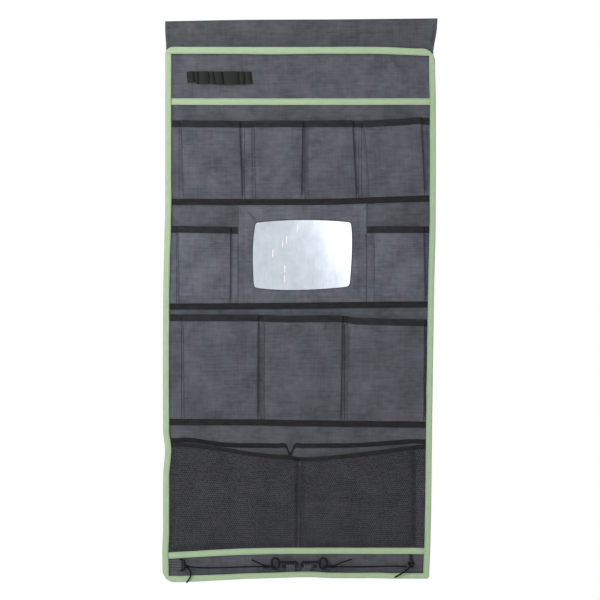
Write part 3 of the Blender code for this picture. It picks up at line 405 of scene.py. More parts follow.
class Graph:
    """The shader nodes of one material, with a short call for each kind that the finishes share."""

    VIOLET_LEAN: Triple = (1.6, -1.2, 1.0)
    BLUE_LEAN: Triple = (-2.2, 1.0, 0.4)

    def __init__(self, name: str) -> None:
        """Starts a material with a plain surface shader."""
        self.material = bpy.data.materials.new(name)
        self.material.use_nodes = True
        self.tree = self.material.node_tree
        self.tree.nodes.clear()
        self.shader = self.add("BsdfPrincipled")
        self.add("OutputMaterial", {"Surface": self.shader.outputs["BSDF"]})

    def add(self, kind: str, inputs: Mapping | None = None, **settings: object) -> bpy.types.Node:
        """Adds a node, as add_node does."""
        return add_node(self.tree, kind, inputs or {}, **settings)

    def threads(self) -> bpy.types.NodeSocket:
        """Returns the place in the cloth's own threads, in metres."""
        return self.add("UVMap", uv_map="thread").outputs["UV"]

    def grain(self, scale: Triple, detail: float = 2.0) -> bpy.types.NodeSocket:
        """Returns noise over the cloth, with so many grains to the metre on each axis."""
        place = self.add("VectorMath", {0: self.threads(), 1: scale}, operation="MULTIPLY")
        inputs = {"Vector": place.outputs["Vector"], "Scale": 1.0, "Detail": detail}
        return self.add("TexNoise", inputs).outputs["Fac"]

    def solid_grain(self, scale: float, detail: float = 2.0) -> bpy.types.NodeSocket:
        """Returns noise in the object's own space, with so many grains to the metre."""
        place = self.add("TexCoord").outputs["Object"]
        return self.add("TexNoise", {"Vector": place, "Scale": scale, "Detail": detail}).outputs["Fac"]

    def calculate(self, operation: str, first: object, second: object = 0.0) -> bpy.types.NodeSocket:
        """Returns a sum, product or other calculation of two values or sockets."""
        return self.add("Math", {0: first, 1: second}, operation=operation).outputs["Value"]

    def ribs(self, axis: str, period: float) -> bpy.types.NodeSocket:
        """Returns a wave from -1 to 1 along one thread direction, with that period in metres."""
        place = self.add("SeparateXYZ", {"Vector": self.threads()}).outputs[axis]
        return self.calculate("SINE", self.calculate("MULTIPLY", place, 2.0 * math.pi / period))

    def weighted(self, *terms: tuple[float, object]) -> bpy.types.NodeSocket:
        """Returns the sum of sockets, each multiplied by its weight."""
        total = None
        for weight, socket in terms:
            term = self.calculate("MULTIPLY", socket, weight)
            total = term if total is None else self.calculate("ADD", total, term)
        return total

    def between(self, share: object, *ends: object) -> bpy.types.NodeSocket:
        """Returns the colour at a share of the way between two colours."""
        node = self.add("Mix", {"Factor": share}, data_type="RGBA", clamp_factor=True)
        for socket, end in zip([socket for socket in node.inputs if socket.type == "RGBA"], ends):
            if isinstance(end, bpy.types.NodeSocket):
                self.tree.links.new(end, socket)
            else:
                socket.default_value = end
        return next(socket for socket in node.outputs if socket.type == "RGBA")

    def tone(
        self, share: object, colour: Colour, spread: float, gain: float = 1.0, drift: object = None
    ) -> None:
        """Sets the base colour.

        Args:
            share: how light each place is, from 0 to 1.
            colour: the middle colour.
            spread: how much darker and lighter the colour gets.
            gain: what the middle colour's light is multiplied by.
            drift: where the colour leans to violet and where to blue, or None for no such lean.
        """
        ends = []
        for factor in (gain * (1.0 - spread), gain * (1.0 + spread)):
            end = shade(colour, factor)
            if drift:
                leans = []
                for lean in (self.VIOLET_LEAN, self.BLUE_LEAN):
                    leans.append(shade([value + shift for value, shift in zip(colour, lean)], factor))
                where = self.calculate("ADD", self.calculate("MULTIPLY", drift, 3.0), -1.0)
                end = self.between(where, *leans)
            ends.append(end)
        self.tree.links.new(self.between(share, *ends), self.shader.inputs["Base Color"])

    def raise_surface(self, height: bpy.types.NodeSocket, distance: float, strength: float) -> None:
        """Adds a height to the surface's shading, on top of any added before."""
        inputs = {"Strength": strength, "Distance": distance, "Height": height}
        normal = self.shader.inputs["Normal"]
        if normal.is_linked:
            inputs["Normal"] = normal.links[0].from_socket
        self.tree.links.new(self.add("Bump", inputs).outputs["Normal"], normal)

    def surface(self, roughness: float, specular: float, metallic: float = 0.0) -> None:
        """Sets how the surface reflects."""
        self.shader.inputs["Roughness"].default_value = roughness
        self.shader.inputs["Specular IOR Level"].default_value = specular
        self.shader.inputs["Metallic"].default_value = metallic


@dataclass(frozen=True)
class Skin:
    """What every finish has: a name, and the colour that the photograph shows."""

    name: str
    colour: Colour

    def paint(self, graph: Graph) -> None:
        """Sets the colour, the shine and the relief, each finish in its own way."""
        raise NotImplementedError

    def build(self) -> bpy.types.Material:
        """Returns the finish's material."""
        graph = Graph(self.name)
        self.paint(graph)
        return graph.material


@dataclass(frozen=True)
class Cloth(Skin):
    """Plain woven polyester cloth with slightly uneven threads."""

    gain: float = 1.0
    thread: float = 0.00065

    def paint(self, graph: Graph) -> None:
        """Sets uneven threads, a mottle and clouds in the colour, and their relief."""
        upright_wave, level_wave = graph.ribs("X", 2 * self.thread), graph.ribs("Y", 2 * self.thread)
        weave = graph.calculate("MULTIPLY", upright_wave, level_wave)
        warp = graph.grain((900.0, 26.0, 1.0))
        weft = graph.grain((26.0, 900.0, 1.0))
        upright = graph.grain((330.0, 14.0, 1.0), 1.0)
        level = graph.grain((14.0, 330.0, 1.0), 1.0)
        mottle = graph.grain((75.0, 110.0, 1.0), 4.0)
        clouds = graph.grain((24.0, 20.0, 1.0), 2.0)
        grains = ((0.5, warp), (0.6, weft), (0.45, upright), (0.7, level), (1.1, mottle), (1.6, clouds))
        middle = 0.5 * sum(weight for weight, _ in grains) - 0.5
        share = graph.calculate("SUBTRACT", graph.weighted(*grains, (0.05, weave)), middle)
        graph.tone(share, self.colour, 0.30, self.gain, graph.grain((36.0, 30.0, 1.0), 2.0))
        graph.surface(0.85, 0.12)
        graph.raise_surface(graph.weighted((1.0, mottle), (0.4, warp), (0.4, weft)), 0.0012, 0.7)
        graph.raise_surface(graph.weighted((0.5, weave), (0.6, warp), (0.6, weft)), 0.00014, 0.5)


@dataclass(frozen=True)
class RibbedTape(Skin):
    """Narrow woven tape with ribs across it."""

    gain: float = 1.0
    mottle: float = 0.5
    rib: float = 0.0009

    def paint(self, graph: Graph) -> None:
        """Sets ribs, grain and clouds in the colour, and their relief."""
        ribs = graph.ribs("X", self.rib)
        grain = graph.grain((900.0, 300.0, 1.0))
        clouds = graph.grain((60.0, 160.0, 1.0), 3.0)
        share = graph.weighted((0.10, ribs), (0.5, grain), (self.mottle, clouds))
        share = graph.calculate("SUBTRACT", share, (self.mottle - 0.5) / 2.0)
        graph.tone(share, self.colour, 0.22, self.gain)
        graph.surface(0.8, 0.2)
        graph.raise_surface(graph.weighted((1.0, clouds), (0.3, grain)), 0.0008, 0.5)
        graph.raise_surface(ribs, 0.00012, 0.5)


@dataclass(frozen=True)
class Elastic(Skin):
    """Flat elastic with fine ribs along and across it."""

    def paint(self, graph: Graph) -> None:
        """Sets ribs both ways in the colour and the relief."""
        along = graph.ribs("Y", 0.0016)
        across = graph.ribs("X", 0.0008)
        grain = graph.grain((500.0, 500.0, 1.0))
        graph.tone(graph.weighted((0.15, along), (0.1, across), (1.0, grain)), self.colour, 0.3)
        graph.surface(0.75, 0.25)
        graph.raise_surface(graph.weighted((0.7, along), (0.4, across)), 0.0002, 0.6)


@dataclass(frozen=True)
class Strand(Skin):
    """Smooth synthetic thread, as in the stitches."""

    def paint(self, graph: Graph) -> None:
        """Sets a slightly uneven colour."""
        graph.tone(graph.solid_grain(700.0), self.colour, 0.25)
        graph.surface(0.65, 0.25)


@dataclass(frozen=True)
class NetThread(Skin):
    """Thin knitted thread, with painted glints at some knots and painted shade at others."""

    def paint(self, graph: Graph) -> None:
        """Paints light and dark knots in patches: painted glints and painted shade on the thread."""
        knots = graph.grain((330.0, 300.0, 1.0), 1.0)
        patches = graph.grain((22.0, 28.0, 1.0), 2.0)
        share = graph.calculate("SUBTRACT", graph.weighted((5.0, knots), (1.5, patches)), 2.75)
        graph.tone(share, self.colour, 0.62)
        graph.surface(0.65, 0.25)


@dataclass(frozen=True)
class Webbing(Skin):
    """Thick webbing with a slanted weave."""

    def paint(self, graph: Graph) -> None:
        """Sets a weave, stripes and grain in the colour, and the weave's relief."""
        weave = graph.calculate("MULTIPLY", graph.ribs("X", 0.0018), graph.ribs("Y", 0.0013))
        stripes = graph.ribs("X", 0.0047)
        grain = graph.grain((600.0, 600.0, 1.0))
        graph.tone(graph.weighted((0.2, weave), (0.35, stripes), (1.0, grain)), self.colour, 0.5)
        graph.surface(0.8, 0.12)
        graph.raise_surface(weave, 0.0003, 0.6)


@dataclass(frozen=True)
class Braid(Skin):
    """The braided cover of a shock cord."""

    def paint(self, graph: Graph) -> None:
        """Sets the braid's diamonds in the colour and the relief."""
        diamonds = graph.calculate("MULTIPLY", graph.ribs("X", 0.0022), graph.ribs("Y", 0.0022))
        grain = graph.grain((800.0, 800.0, 1.0))
        graph.tone(graph.weighted((0.3, diamonds), (1.0, grain)), self.colour, 0.35)
        graph.surface(0.7, 0.12)
        graph.raise_surface(diamonds, 0.0004, 0.8)


@dataclass(frozen=True)
class MouldedPlastic(Skin):
    """Black moulded plastic with a fine satin skin."""

    def paint(self, graph: Graph) -> None:
        """Sets a nearly even colour and a very fine relief."""
        graph.tone(graph.solid_grain(120.0), self.colour, 0.12)
        graph.surface(0.34, 0.16)
        graph.raise_surface(graph.solid_grain(2500.0, 1.0), 0.00006, 0.4)


@dataclass(frozen=True)
class MirrorFilm(Skin):
    """A silvered plastic mirror with slight waves and faint upright streaks."""

    def paint(self, graph: Graph) -> None:
        """Sets streaks and haze in the colour, and long, low waves."""
        streaks = graph.grain((300.0, 22.0, 1.0), 1.0)
        haze = graph.grain((60.0, 45.0, 1.0), 3.0)
        share = graph.calculate("SUBTRACT", graph.weighted((0.8, streaks), (2.4, haze)), 1.1)
        graph.tone(share, self.colour, 0.08)
        graph.surface(0.09, 0.5, 1.0)
        graph.raise_surface(graph.grain((11.0, 7.0, 1.0), 1.0), 0.0003, 0.05)


@dataclass(frozen=True)
class Pile(Skin):
    """Hook-and-loop tape, seen as short pile."""

    def paint(self, graph: Graph) -> None:
        """Sets tufts in the colour and the relief."""
        tufts = graph.grain((900.0, 900.0, 1.0), 3.0)
        graph.tone(tufts, self.colour, 0.4)
        graph.surface(0.95, 0.1)
        graph.raise_surface(tufts, 0.0010, 0.9)


class Finish(Enum):
    """Every finish of the organizer, with its colour as the photograph shows it."""

    CLOTH = Cloth("grey woven cloth", (97, 98, 105), 1.07)
    # The sleeve, middle-row, lower-row and panel cloths are the same grey cloth painted darker or lighter:
    # painted shade on the sleeve, the lower row and the panel, painted light on the middle row and the mirror
    # frame.
    SLEEVE_CLOTH = Cloth("grey sleeve cloth painted darker", (97, 98, 104), 0.95)
    MIDDLE_CLOTH = Cloth("grey cloth of the middle row painted lighter", (97, 99, 107), 1.22)
    LOWER_CLOTH = Cloth("grey cloth of the lower row painted darker", (97, 98, 105), 0.98)
    PANEL_CLOTH = Cloth("grey panel cloth painted darker", (94, 96, 102))
    GREEN = RibbedTape("green tape", (170, 193, 158), 1.30)
    BLACK_TAPE = RibbedTape("black tape", (38, 37, 39), mottle=4.0)
    BINDING = RibbedTape("black pocket binding", (45, 44, 49), mottle=3.5)
    ELASTIC = Elastic("black elastic", (41, 42, 39))
    NET = NetThread("black net", (62, 61, 67))
    DARK_THREAD = Strand("dark thread", (30, 31, 33))
    # This thread sews the seams and also draws the painted shade lines along the pocket folds.
    FOLD_THREAD = Strand("dark seam thread and painted fold shade", (36, 37, 42))
    GREEN_THREAD = Strand("green thread", (110, 136, 102))
    WEBBING = Webbing("grey webbing", (90, 92, 98))
    CORD = Braid("black shock cord", (25, 25, 28))
    PLASTIC = MouldedPlastic("black moulded plastic", (20, 20, 22))
    MIRROR = MirrorFilm("mirror film", (200, 208, 217))
    MARK = MirrorFilm("white mark on the mirror film", (253, 254, 255))
    CLOSURE = Pile("black hook-and-loop", (28, 28, 30))

    def material(self) -> bpy.types.Material:
        """Returns the finish's material, made at its first use."""
        found = bpy.data.materials.get(self.value.name)
        return found or self.value.build()


# Meshes


def make_object(
    name: str, points: Sequence, faces: Sequence, threads: Sequence[Pair], finish: Finish
) -> bpy.types.Object:
    """Makes a mesh object with its thread map and its finish.

    Args:
        name: the piece's name.
        points: the mesh's points.
        faces: the point numbers of each face.
        threads: the thread place of each point.
        finish: what it is made of.

    Returns:
        The new object, linked to the scene.
    """
    mesh = bpy.data.meshes.new(name)
    mesh.from_pydata([tuple(point) for point in points], [], faces)
    corners = np.zeros(len(mesh.loops), np.int32)
    mesh.loops.foreach_get("vertex_index", corners)
    layer = mesh.uv_layers.new(name="thread")
    layer.data.foreach_set("uv", np.array(threads, np.float32)[corners].ravel())
    mesh.materials.append(finish.material())
    piece = bpy.data.objects.new(name, mesh)
    bpy.context.scene.collection.objects.link(piece)
    return piece


def choose(piece: bpy.types.Object) -> None:
    """Makes one object the only selected one and the active one."""
    bpy.ops.object.select_all(action="DESELECT")
    piece.select_set(True)
    bpy.context.view_layer.objects.active = piece


def smooth(piece: bpy.types.Object, angle: float = 45.0) -> None:
    """Shades an object smooth, with edges sharper than the angle left sharp."""
    choose(piece)
    bpy.ops.object.shade_smooth_by_angle(angle=math.radians(angle))


def apply_modifier(piece: bpy.types.Object, kind: str, **settings: object) -> None:
    """Applies a modifier with its settings to the active object."""
    modifier = piece.modifiers.new(kind.lower(), kind)
    for setting, value in settings.items():
        setattr(modifier, setting, value)
    bpy.ops.object.modifier_apply(modifier=modifier.name)


def thicken(piece: bpy.types.Object, thickness: float) -> None:
    """Gives a sheet its thickness, half to each side of its middle."""
    choose(piece)
    apply_modifier(piece, "SOLIDIFY", thickness=thickness, offset=0.0)


@dataclass
class Patch:
    """A grid of cloth points, row by row, each with its place in the cloth's own threads."""

    points: list[list[Vector]] = field(default_factory=list)
    threads: list[list[Pair]] = field(default_factory=list)

    def add(self, points: Iterable[Vector], threads: Iterable[Pair]) -> None:
        """Adds a row."""
        self.points.append(list(points))
        self.threads.append(list(threads))

    def build(self, name: str, thickness: float, finish: Finish, closed: bool = False) -> bpy.types.Object:
        """Makes the cloth.

        Args:
            name: the piece's name.
            thickness: the cloth's thickness, or 0 for none.
            finish: what it is made of.
            closed: whether the last point of each row joins its first.

        Returns:
            The new object.
        """
        width = len(self.points[0])
        faces = []
        for row in range(len(self.points) - 1):
            for column in range(width if closed else width - 1):
                here = row * width + column
                beside = row * width + (column + 1) % width
                faces.append((here, beside, beside + width, here + width))
        points = [point for row in self.points for point in row]
        threads = [thread for row in self.threads for thread in row]
        piece = make_object(name, points, faces, threads, finish)
        if thickness:
            thicken(piece, thickness)
        smooth(piece)
        return piece


def hand_over(piece: bpy.types.Object, body: Body | None, slot: Slot, *nodes: str) -> None:
    """Gives a finished piece to its body, in place of the part's nodes.

    Args:
        piece: the finished piece.
        body: the body it moves with, or None to attach it to no body.
        slot: the record's finish; not used.
        nodes: the nodes it stands for.
    """
    if body:
        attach(piece, body.value)
    if nodes:
        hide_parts(*nodes)
    LOG.info("%s: %d faces", piece.name, len(piece.data.polygons))


def smooth_path(corners: Sequence[Sequence[float]], spacing: float, closed: bool = False) -> list[Vector]:
    """Returns close points on a smooth line through some corners.

    Args:
        corners: the points that the line goes through.
        spacing: the distance between the new points.
        closed: whether the line returns to its start.

    Returns:
        The points, without the first one again at the end of a closed line.
    """
    points = [Vector(corner) for corner in corners]
    count = len(points)
    line = []
    for index in range(count if closed else count - 1):
        start, end = points[index], points[(index + 1) % count]
        before = points[index - 1] if closed or index else start - (end - start)
        goes_on = closed or index + 2 < count
        after = points[(index + 2) % count] if goes_on else end + (end - start)
        pieces = max(1, math.ceil((end - start).length / spacing))
        for step in range(pieces):
            share = step / pieces
            square, cube = share**2, share**3
            line.append(
                0.5
                * (
                    2.0 * start
                    + (end - before) * share
                    + (2.0 * before - 5.0 * start + 4.0 * end - after) * square
                    + (3.0 * start - before - 3.0 * end + after) * cube
                )
            )
    if not closed:
        line.append(points[-1])
    return line


TIP_REACHES = (1.0, 0.85, 0.5)
TIP_RADIUS = 0.02


def round_end(tip: Vector, inside: Vector, radius: float) -> list[tuple[Vector, float]]:
    """Returns the rings that close a cord's end, from the tip inwards, each with its share of the radius."""
    out = (tip - inside).normalized()
    return [(tip + out * radius * reach, math.sqrt(1.0 - reach**2) + TIP_RADIUS) for reach in TIP_REACHES]


def make_tube(
    name: str, path: Sequence[Vector], radius: float, finish: Finish, closed: bool = False, sides: int = 14
) -> bpy.types.Object:
    """Makes a round cord along a line, with rounded ends.

    Args:
        name: the piece's name.
        path: the points of the cord's middle.
        radius: the cord's radius.
        finish: what it is made of.
        closed: whether the cord is a ring.
        sides: the number of faces round the cord.

    Returns:
        The new object.
    """
    rings = [(point, 1.0) for point in path]
    if not closed:
        front, back = round_end(path[0], path[1], radius), round_end(path[-1], path[-2], radius)
        rings = front + rings + back[::-1]
    count = len(rings)
    normal = Vector((0.0, 1.0, 0.3)).normalized()
    patch = Patch()
    travelled = 0.0
    for index, (point, share) in enumerate(rings):
        before = rings[index - 1][0] if index or closed else point
        after = rings[(index + 1) % count][0] if index + 1 < count or closed else point
        along = (after - before).normalized()
        normal = (normal - along * normal.dot(along)).normalized()
        side = along.cross(normal)
        travelled += (point - before).length if index else 0.0
        ring, threads = [], []
        for corner in range(sides + 1):
            angle = 2.0 * math.pi * corner / sides
            offset = normal * math.cos(angle) + side * math.sin(angle)
            ring.append(point + offset * radius * share)
            threads.append((travelled, 2.0 * math.pi * radius * corner / sides))
        patch.add(ring, threads)
    if closed:
        patch.add(patch.points[0], patch.threads[0])
    return patch.build(name, 0.0, finish)


@dataclass(frozen=True)
class Stitching:
    """Stitches as small beads of thread along lines."""

    length: float = 0.0026
    gap: float = 0.0011
    width: float = 0.00028
    height: float = 0.00018
    shoulders: Pair = (0.22, 0.78)

    def sew(self, name: str, lines: Iterable[Sequence[Vector]], thread: Finish, slot: Slot) -> None:
        """Makes and dresses the stitches of several lines as one piece.

        Args:
            name: the piece's name.
            lines: the lines that the stitches follow, on the cloth's surface.
            thread: what the stitches are made of.
            slot: the record's finish they take.
        """
        points: list[Vector] = []
        faces: list[tuple[int, ...]] = []
        for line in lines:
            for start, end in self.cut(line):
                self.add_bead(points, faces, start, end)
        piece = make_object(name, points, faces, [(point.x, point.z) for point in points], thread)
        hand_over(piece, Body.ORGANIZER, slot)

    def cut(self, line: Sequence[Vector]) -> list[tuple[Vector, Vector]]:
        """Returns the two ends of each stitch on a line."""
        lengths = distances(line)
        ends = []
        start = self.gap
        while start + self.length < lengths[-1]:
            ends.append((self.find(line, lengths, start), self.find(line, lengths, start + self.length)))
            start += self.length + self.gap
        return ends

    @staticmethod
    def find(line: Sequence[Vector], lengths: Sequence[float], where: float) -> Vector:
        """Returns the point at a distance along a line."""
        index = int(np.searchsorted(lengths, where)) - 1
        index = min(max(index, 0), len(line) - 2)
        run = max(lengths[index + 1] - lengths[index], 1e-9)
        return line[index].lerp(line[index + 1], (where - lengths[index]) / run)

    def add_bead(self, points: list, faces: list, start: Vector, end: Vector) -> None:
        """Adds one stitch: two rings of four points and two tips."""
        along = (end - start).normalized()
        toward = Vector((0.0, -1.0, 0.0))
        side = along.cross(toward).normalized()
        first = len(points)
        points.append(start)
        for share in self.shoulders:
            middle = start.lerp(end, share)
            for across, up in ((1, 0), (0, 1), (-1, 0), (0, -1)):
                points.append(middle + side * across * self.width + toward * up * self.height)
        points.append(end)
        for corner in range(4):
            beside = (corner + 1) % 4
            faces.append((first, first + 1 + beside, first + 1 + corner))
            faces.append((first + 1 + corner, first + 1 + beside, first + 5 + beside, first + 5 + corner))
            faces.append((first + 9, first + 5 + corner, first + 5 + beside))


STITCHING = Stitching()
SEAM_STITCHING = Stitching(length=0.0036, gap=0.0003, width=0.00040)
MARKING = Stitching(length=0.0165, gap=0.0001, width=0.00085, height=0.00012)


# The panel, its edge tape and the flat bands


@dataclass
class Panel:
    """The back panel and the second layer on its head."""

    inset: float = 0.0008
    spacing: float = 0.0032
    head_foot: float = -0.1214

    def height(self, x: float, share: float, foot: float | None) -> float:
        """Returns the height at a share of the way up from the foot, or from the bottom edge if None."""
        low = OUTLINE.bottom_line(x) + self.inset if foot is None else foot
        return mix(low, OUTLINE.top_line(x) - self.inset, share)

    def layer(
        self, name: str, foot: float | None, y: float, thickness: float, finish: Finish
    ) -> bpy.types.Object:
        """Makes one layer of cloth.

        Args:
            name: the piece's name.
            foot: the height of its foot, or None to reach the bottom edge.
            y: the depth of its middle.
            thickness: its thickness.
            finish: its cloth.

        Returns:
            The new object.
        """
        patch = Patch()
        columns = round(2.0 * PANEL_HALF_WIDTH / self.spacing)
        rows = round((PANEL_TOP - (PANEL_BOTTOM if foot is None else foot)) / self.spacing)
        for row in range(rows + 1):
            share = row / rows
            left = OUTLINE.left(self.height(-PANEL_HALF_WIDTH, share, foot)) + self.inset
            right = OUTLINE.right(self.height(PANEL_HALF_WIDTH, share, foot)) - self.inset
            across = [mix(left, right, column / columns) for column in range(columns + 1)]
            threads = [(x, self.height(x, share, foot)) for x in across]
            patch.add([HANG.wave(x, y, z) for x, z in threads], threads)
        return patch.build(name, thickness, finish)

    def build(self) -> None:
        """Makes and dresses both layers."""
        panel = self.layer("panel_cloth", None, PANEL_MIDDLE, PANEL_THICKNESS, Finish.PANEL_CLOTH)
        hand_over(panel, Body.ORGANIZER, Slot.GREY_CLOTH, "back_panel")
        head = self.layer("head_cloth", self.head_foot, FLANGE_MIDDLE, CLOTH_THICKNESS, Finish.CLOTH)
        hand_over(head, Body.ORGANIZER, Slot.GREY_CLOTH, "header_facing")


@dataclass
class EdgeTape:
    """The green tape folded over the panel's edge, as four lapped strips."""

    left_width: float = 0.0103
    right_width: float = 0.0095
    foot_width: float = 0.0090
    half_depth: float = 0.00235
    middle: float = -0.0018
    reach: float = 0.0005
    lap: float = 0.0003
    crown: float = 0.00018
    tuck: float = 0.00012
    seam_inset: float = 0.0012
    seam_lift: float = 0.0004
    spacing: float = 0.003
    top_inner: Wander = through(
        (-0.22, -0.0358), (-0.13, -0.0358), (-0.05, -0.0367), (0.037, -0.0358), (0.153, -0.0367),
        (0.2245, -0.0394),
    )

    def section(self, inner: Vector, outer: Vector, out: Vector, lap: float) -> list[Vector]:
        """Returns the folded tape's points across it, from its front inner edge to its back inner edge.

        Args:
            inner: where its inner edges lie.
            outer: where the panel's edge lies.
            out: the direction away from the panel.
            lap: how far it stands over the lowest strip.

        Returns:
            The points.
        """
        half = self.half_depth + lap
        reach = self.reach + lap
        flat = []
        for share in (0.0, 0.04, 0.3, 0.6, 0.85, 1.0):
            rounding = self.crown * math.sin(math.pi * share) - (self.tuck if share == 0.0 else 0.0)
            flat.append((inner.lerp(outer, share), half + rounding))
        points = [place + Vector((0.0, self.middle - depth, 0.0)) for place, depth in flat]
        for turn in range(1, 8):
            angle = math.pi * (turn / 8.0 - 0.5)
            fold = outer + out * reach * math.cos(angle)
            points.append(fold + Vector((0.0, self.middle + half * math.sin(angle), 0.0)))
        points += [place + Vector((0.0, self.middle + depth, 0.0)) for place, depth in reversed(flat)]
        return points

    def strip(self, name: str, inner: list[Vector], outer: list[Vector], lap: float) -> bpy.types.Object:
        """Makes one strip along matching inner and outer lines."""
        patch = Patch()
        travelled = distances(outer)
        for index, (near, far) in enumerate(zip(inner, outer)):
            before = outer[max(index - 1, 0)]
            after = outer[min(index + 1, len(outer) - 1)]
            along = (after - before).normalized()
            out = Vector((along.z, 0.0, -along.x))
            if out.dot(far - near) < 0.0:
                out = -out
            points = self.section(near, far, out, lap)
            threads = [(travelled[index], across) for across in distances(points)]
            hanging = [point - Vector((0.0, HANG.relief(point.x, point.z), 0.0)) for point in points]
            patch.add(hanging, threads)
        return patch.build(name, TAPE_THICKNESS, Finish.GREEN)

    def side_lines(self, edge: Callable[[float], float], inward: float, ends: Pair) -> tuple[list, list]:
        """Returns the inner and outer lines of a side strip."""
        inner, outer = [], []
        width = self.left_width if inward > 0 else self.right_width
        for z in steps(ends[0], ends[1], self.spacing):
            wave = 0.0005 * soft_noise(z * 26.0, inward * 5.0)
            straight = inward * -PANEL_HALF_WIDTH + (HANG.left.at(z) if inward > 0 else HANG.right.at(z))
            inner.append(Vector((straight + inward * (width + wave), 0.0, z)))
            outer.append(Vector((edge(z), 0.0, z)))
        return inner, outer

    def level_lines(
        self, edge: Callable[[float], float], inner_line: Callable[[float], float], ends: Pair
    ) -> tuple[list, list]:
        """Returns the inner and outer lines of a level strip."""
        inner, outer = [], []
        for x in steps(ends[0], ends[1], self.spacing):
            wave = 0.0003 * soft_noise(x * 26.0, 11.0)
            inner.append(Vector((x, 0.0, inner_line(x) + wave)))
            outer.append(Vector((x, 0.0, edge(x))))
        return inner, outer

    def foot_inner(self, x: float) -> float:
        """Returns the inner edge of the bottom strip, which widens towards the left."""
        return OUTLINE.bottom_line(x) + self.foot_width + 0.0014 * ease((-0.10 - x) / 0.10)

    def lines(self) -> dict[str, tuple[list, list]]:
        """Returns each strip's name and its two lines, the lowest strip first."""
        left_end = -PANEL_HALF_WIDTH + HANG.left.at(PANEL_TOP) + 0.0006
        right_end = PANEL_HALF_WIDTH + HANG.right.at(PANEL_TOP) - 0.0028
        foot_left = -PANEL_HALF_WIDTH + HANG.left.at(PANEL_BOTTOM) + 0.0026
        foot_right = PANEL_HALF_WIDTH + HANG.right.at(PANEL_BOTTOM) - 0.0020
        head = PANEL_TOP - 0.0060
        left_foot = PANEL_BOTTOM + 0.0030
        right_foot = OUTLINE.bottom_line(PANEL_HALF_WIDTH)
        return {
            "left_edge_tape": self.side_lines(OUTLINE.left, 1.0, (left_foot, head)),
            "bottom_edge_tape": self.level_lines(OUTLINE.bottom, self.foot_inner, (foot_left, foot_right)),
            "right_edge_tape": self.side_lines(OUTLINE.right, -1.0, (right_foot, head)),
            "top_edge_tape": self.level_lines(OUTLINE.top, self.top_inner.at, (left_end, right_end)),
        }

    def build(self) -> None:
        """Makes and dresses the four strips and their stitches."""
        seams = []
        for order, (name, (inner, outer)) in enumerate(self.lines().items()):
            lap = order * self.lap
            strip = self.strip(name, inner, outer, lap)
            hand_over(strip, Body.ORGANIZER, Slot.GREEN_TAPE, "edge_binding")
            depth = self.middle - self.half_depth - lap - self.seam_lift
            line = []
            for near, far in zip(inner, outer):
                point = near + (far - near).normalized() * self.seam_inset
                line.append(HANG.wave(point.x, depth, point.z))
            seams.append(line[2:-2])
        STITCHING.sew("edge_tape_stitching", seams, Finish.GREEN_THREAD, Slot.GREEN_TAPE)


@dataclass
class Band:
    """A flat tape sewn across the panel."""

    name: str
    node: str
    line: Wander
    width: float
    finish: Finish
    slot: Slot
    ends: Pair = (-CLOTH_EDGE, CLOTH_EDGE)
    middle: float = BAND_MIDDLE
    spacing: float = 0.003
    crown: float = 0.00012
    seam_inset: float = 0.0015
    seam_lift: float = 0.0003
    thread: Finish = Finish.DARK_THREAD

    def point(self, x: float, across: float) -> Vector:
        """Returns a point of the band's middle, across from -1 at its foot to 1 at its top."""
        wave = 0.00025 * soft_noise(x * 34.0, across * 2.0 + self.line.places[0][1] * 90.0)
        z = self.line.at(x) + across * self.width / 2.0 + wave
        return HANG.place(x, self.middle - self.crown * (1.0 - across**2), z)

    def build(self) -> None:
        """Makes and dresses the band and its stitches."""
        patch = Patch()
        places = steps(self.ends[0], self.ends[1], self.spacing)
        for share in (-1.0, -0.94, -0.5, 0.0, 0.5, 0.94, 1.0):
            patch.add([self.point(x, share) for x in places], [(x, share * self.width / 2.0) for x in places])
        piece = patch.build(self.name, TAPE_THICKNESS, self.finish)
        hand_over(piece, Body.ORGANIZER, self.slot, self.node)
        seams = []
        for side in (-1.0, 1.0):
            share = side * (1.0 - 2.0 * self.seam_inset / self.width)
            seams.append(forward([self.point(x, share) for x in places], self.seam_lift))
        STITCHING.sew(f"{self.name}_stitching", seams, self.thread, self.slot)


def make_bands() -> None:
    """Makes the flat tapes, from the head to the foot."""
    green = (Finish.GREEN, Slot.GREEN_TAPE)
    black = (Finish.BLACK_TAPE, Slot.BLACK_TAPE)
    header = through((-0.23, -0.1210), (0.0, -0.1214), (0.23, -0.1212))
    rear = through(
        (-0.230, -0.7270), (-0.198, -0.7262), (-0.133, -0.7345), (-0.040, -0.7366), (-0.0245, -0.7376),
        (-0.0175, -0.7540), (-0.0105, -0.7374), (0.004, -0.7366), (0.093, -0.7357), (0.160, -0.7318),
        (0.201, -0.7285), (0.230, -0.7300),
    )
    bottom = through(
        (-0.232, -0.9329), (-0.18, -0.9297), (-0.124, -0.9268), (-0.053, -0.9248), (0.207, -0.9246),
        (0.230, -0.9252),
    )
    Band("header_tape", "header_trim", header, 0.0114, *green, thread=Finish.GREEN_THREAD).build()
    Band("upper_foot_tape", "upper_base_tape", UPPER_FOOT, 0.0107, *black).build()
    Band("middle_foot_tape", "middle_base_tape", MIDDLE_FOOT, 0.0107, *black).build()
    Band("lower_foot_tape", "lower_base_tape", LOWER_FOOT, 0.0107, *black).build()
    Band("net_rear_tape", "mesh_rear_tape", rear, 0.008, *black, middle=FLANGE_MIDDLE).build()
    Band("net_foot_tape", "bottom_trim", bottom, 0.0110, *green, thread=Finish.GREEN_THREAD).build()


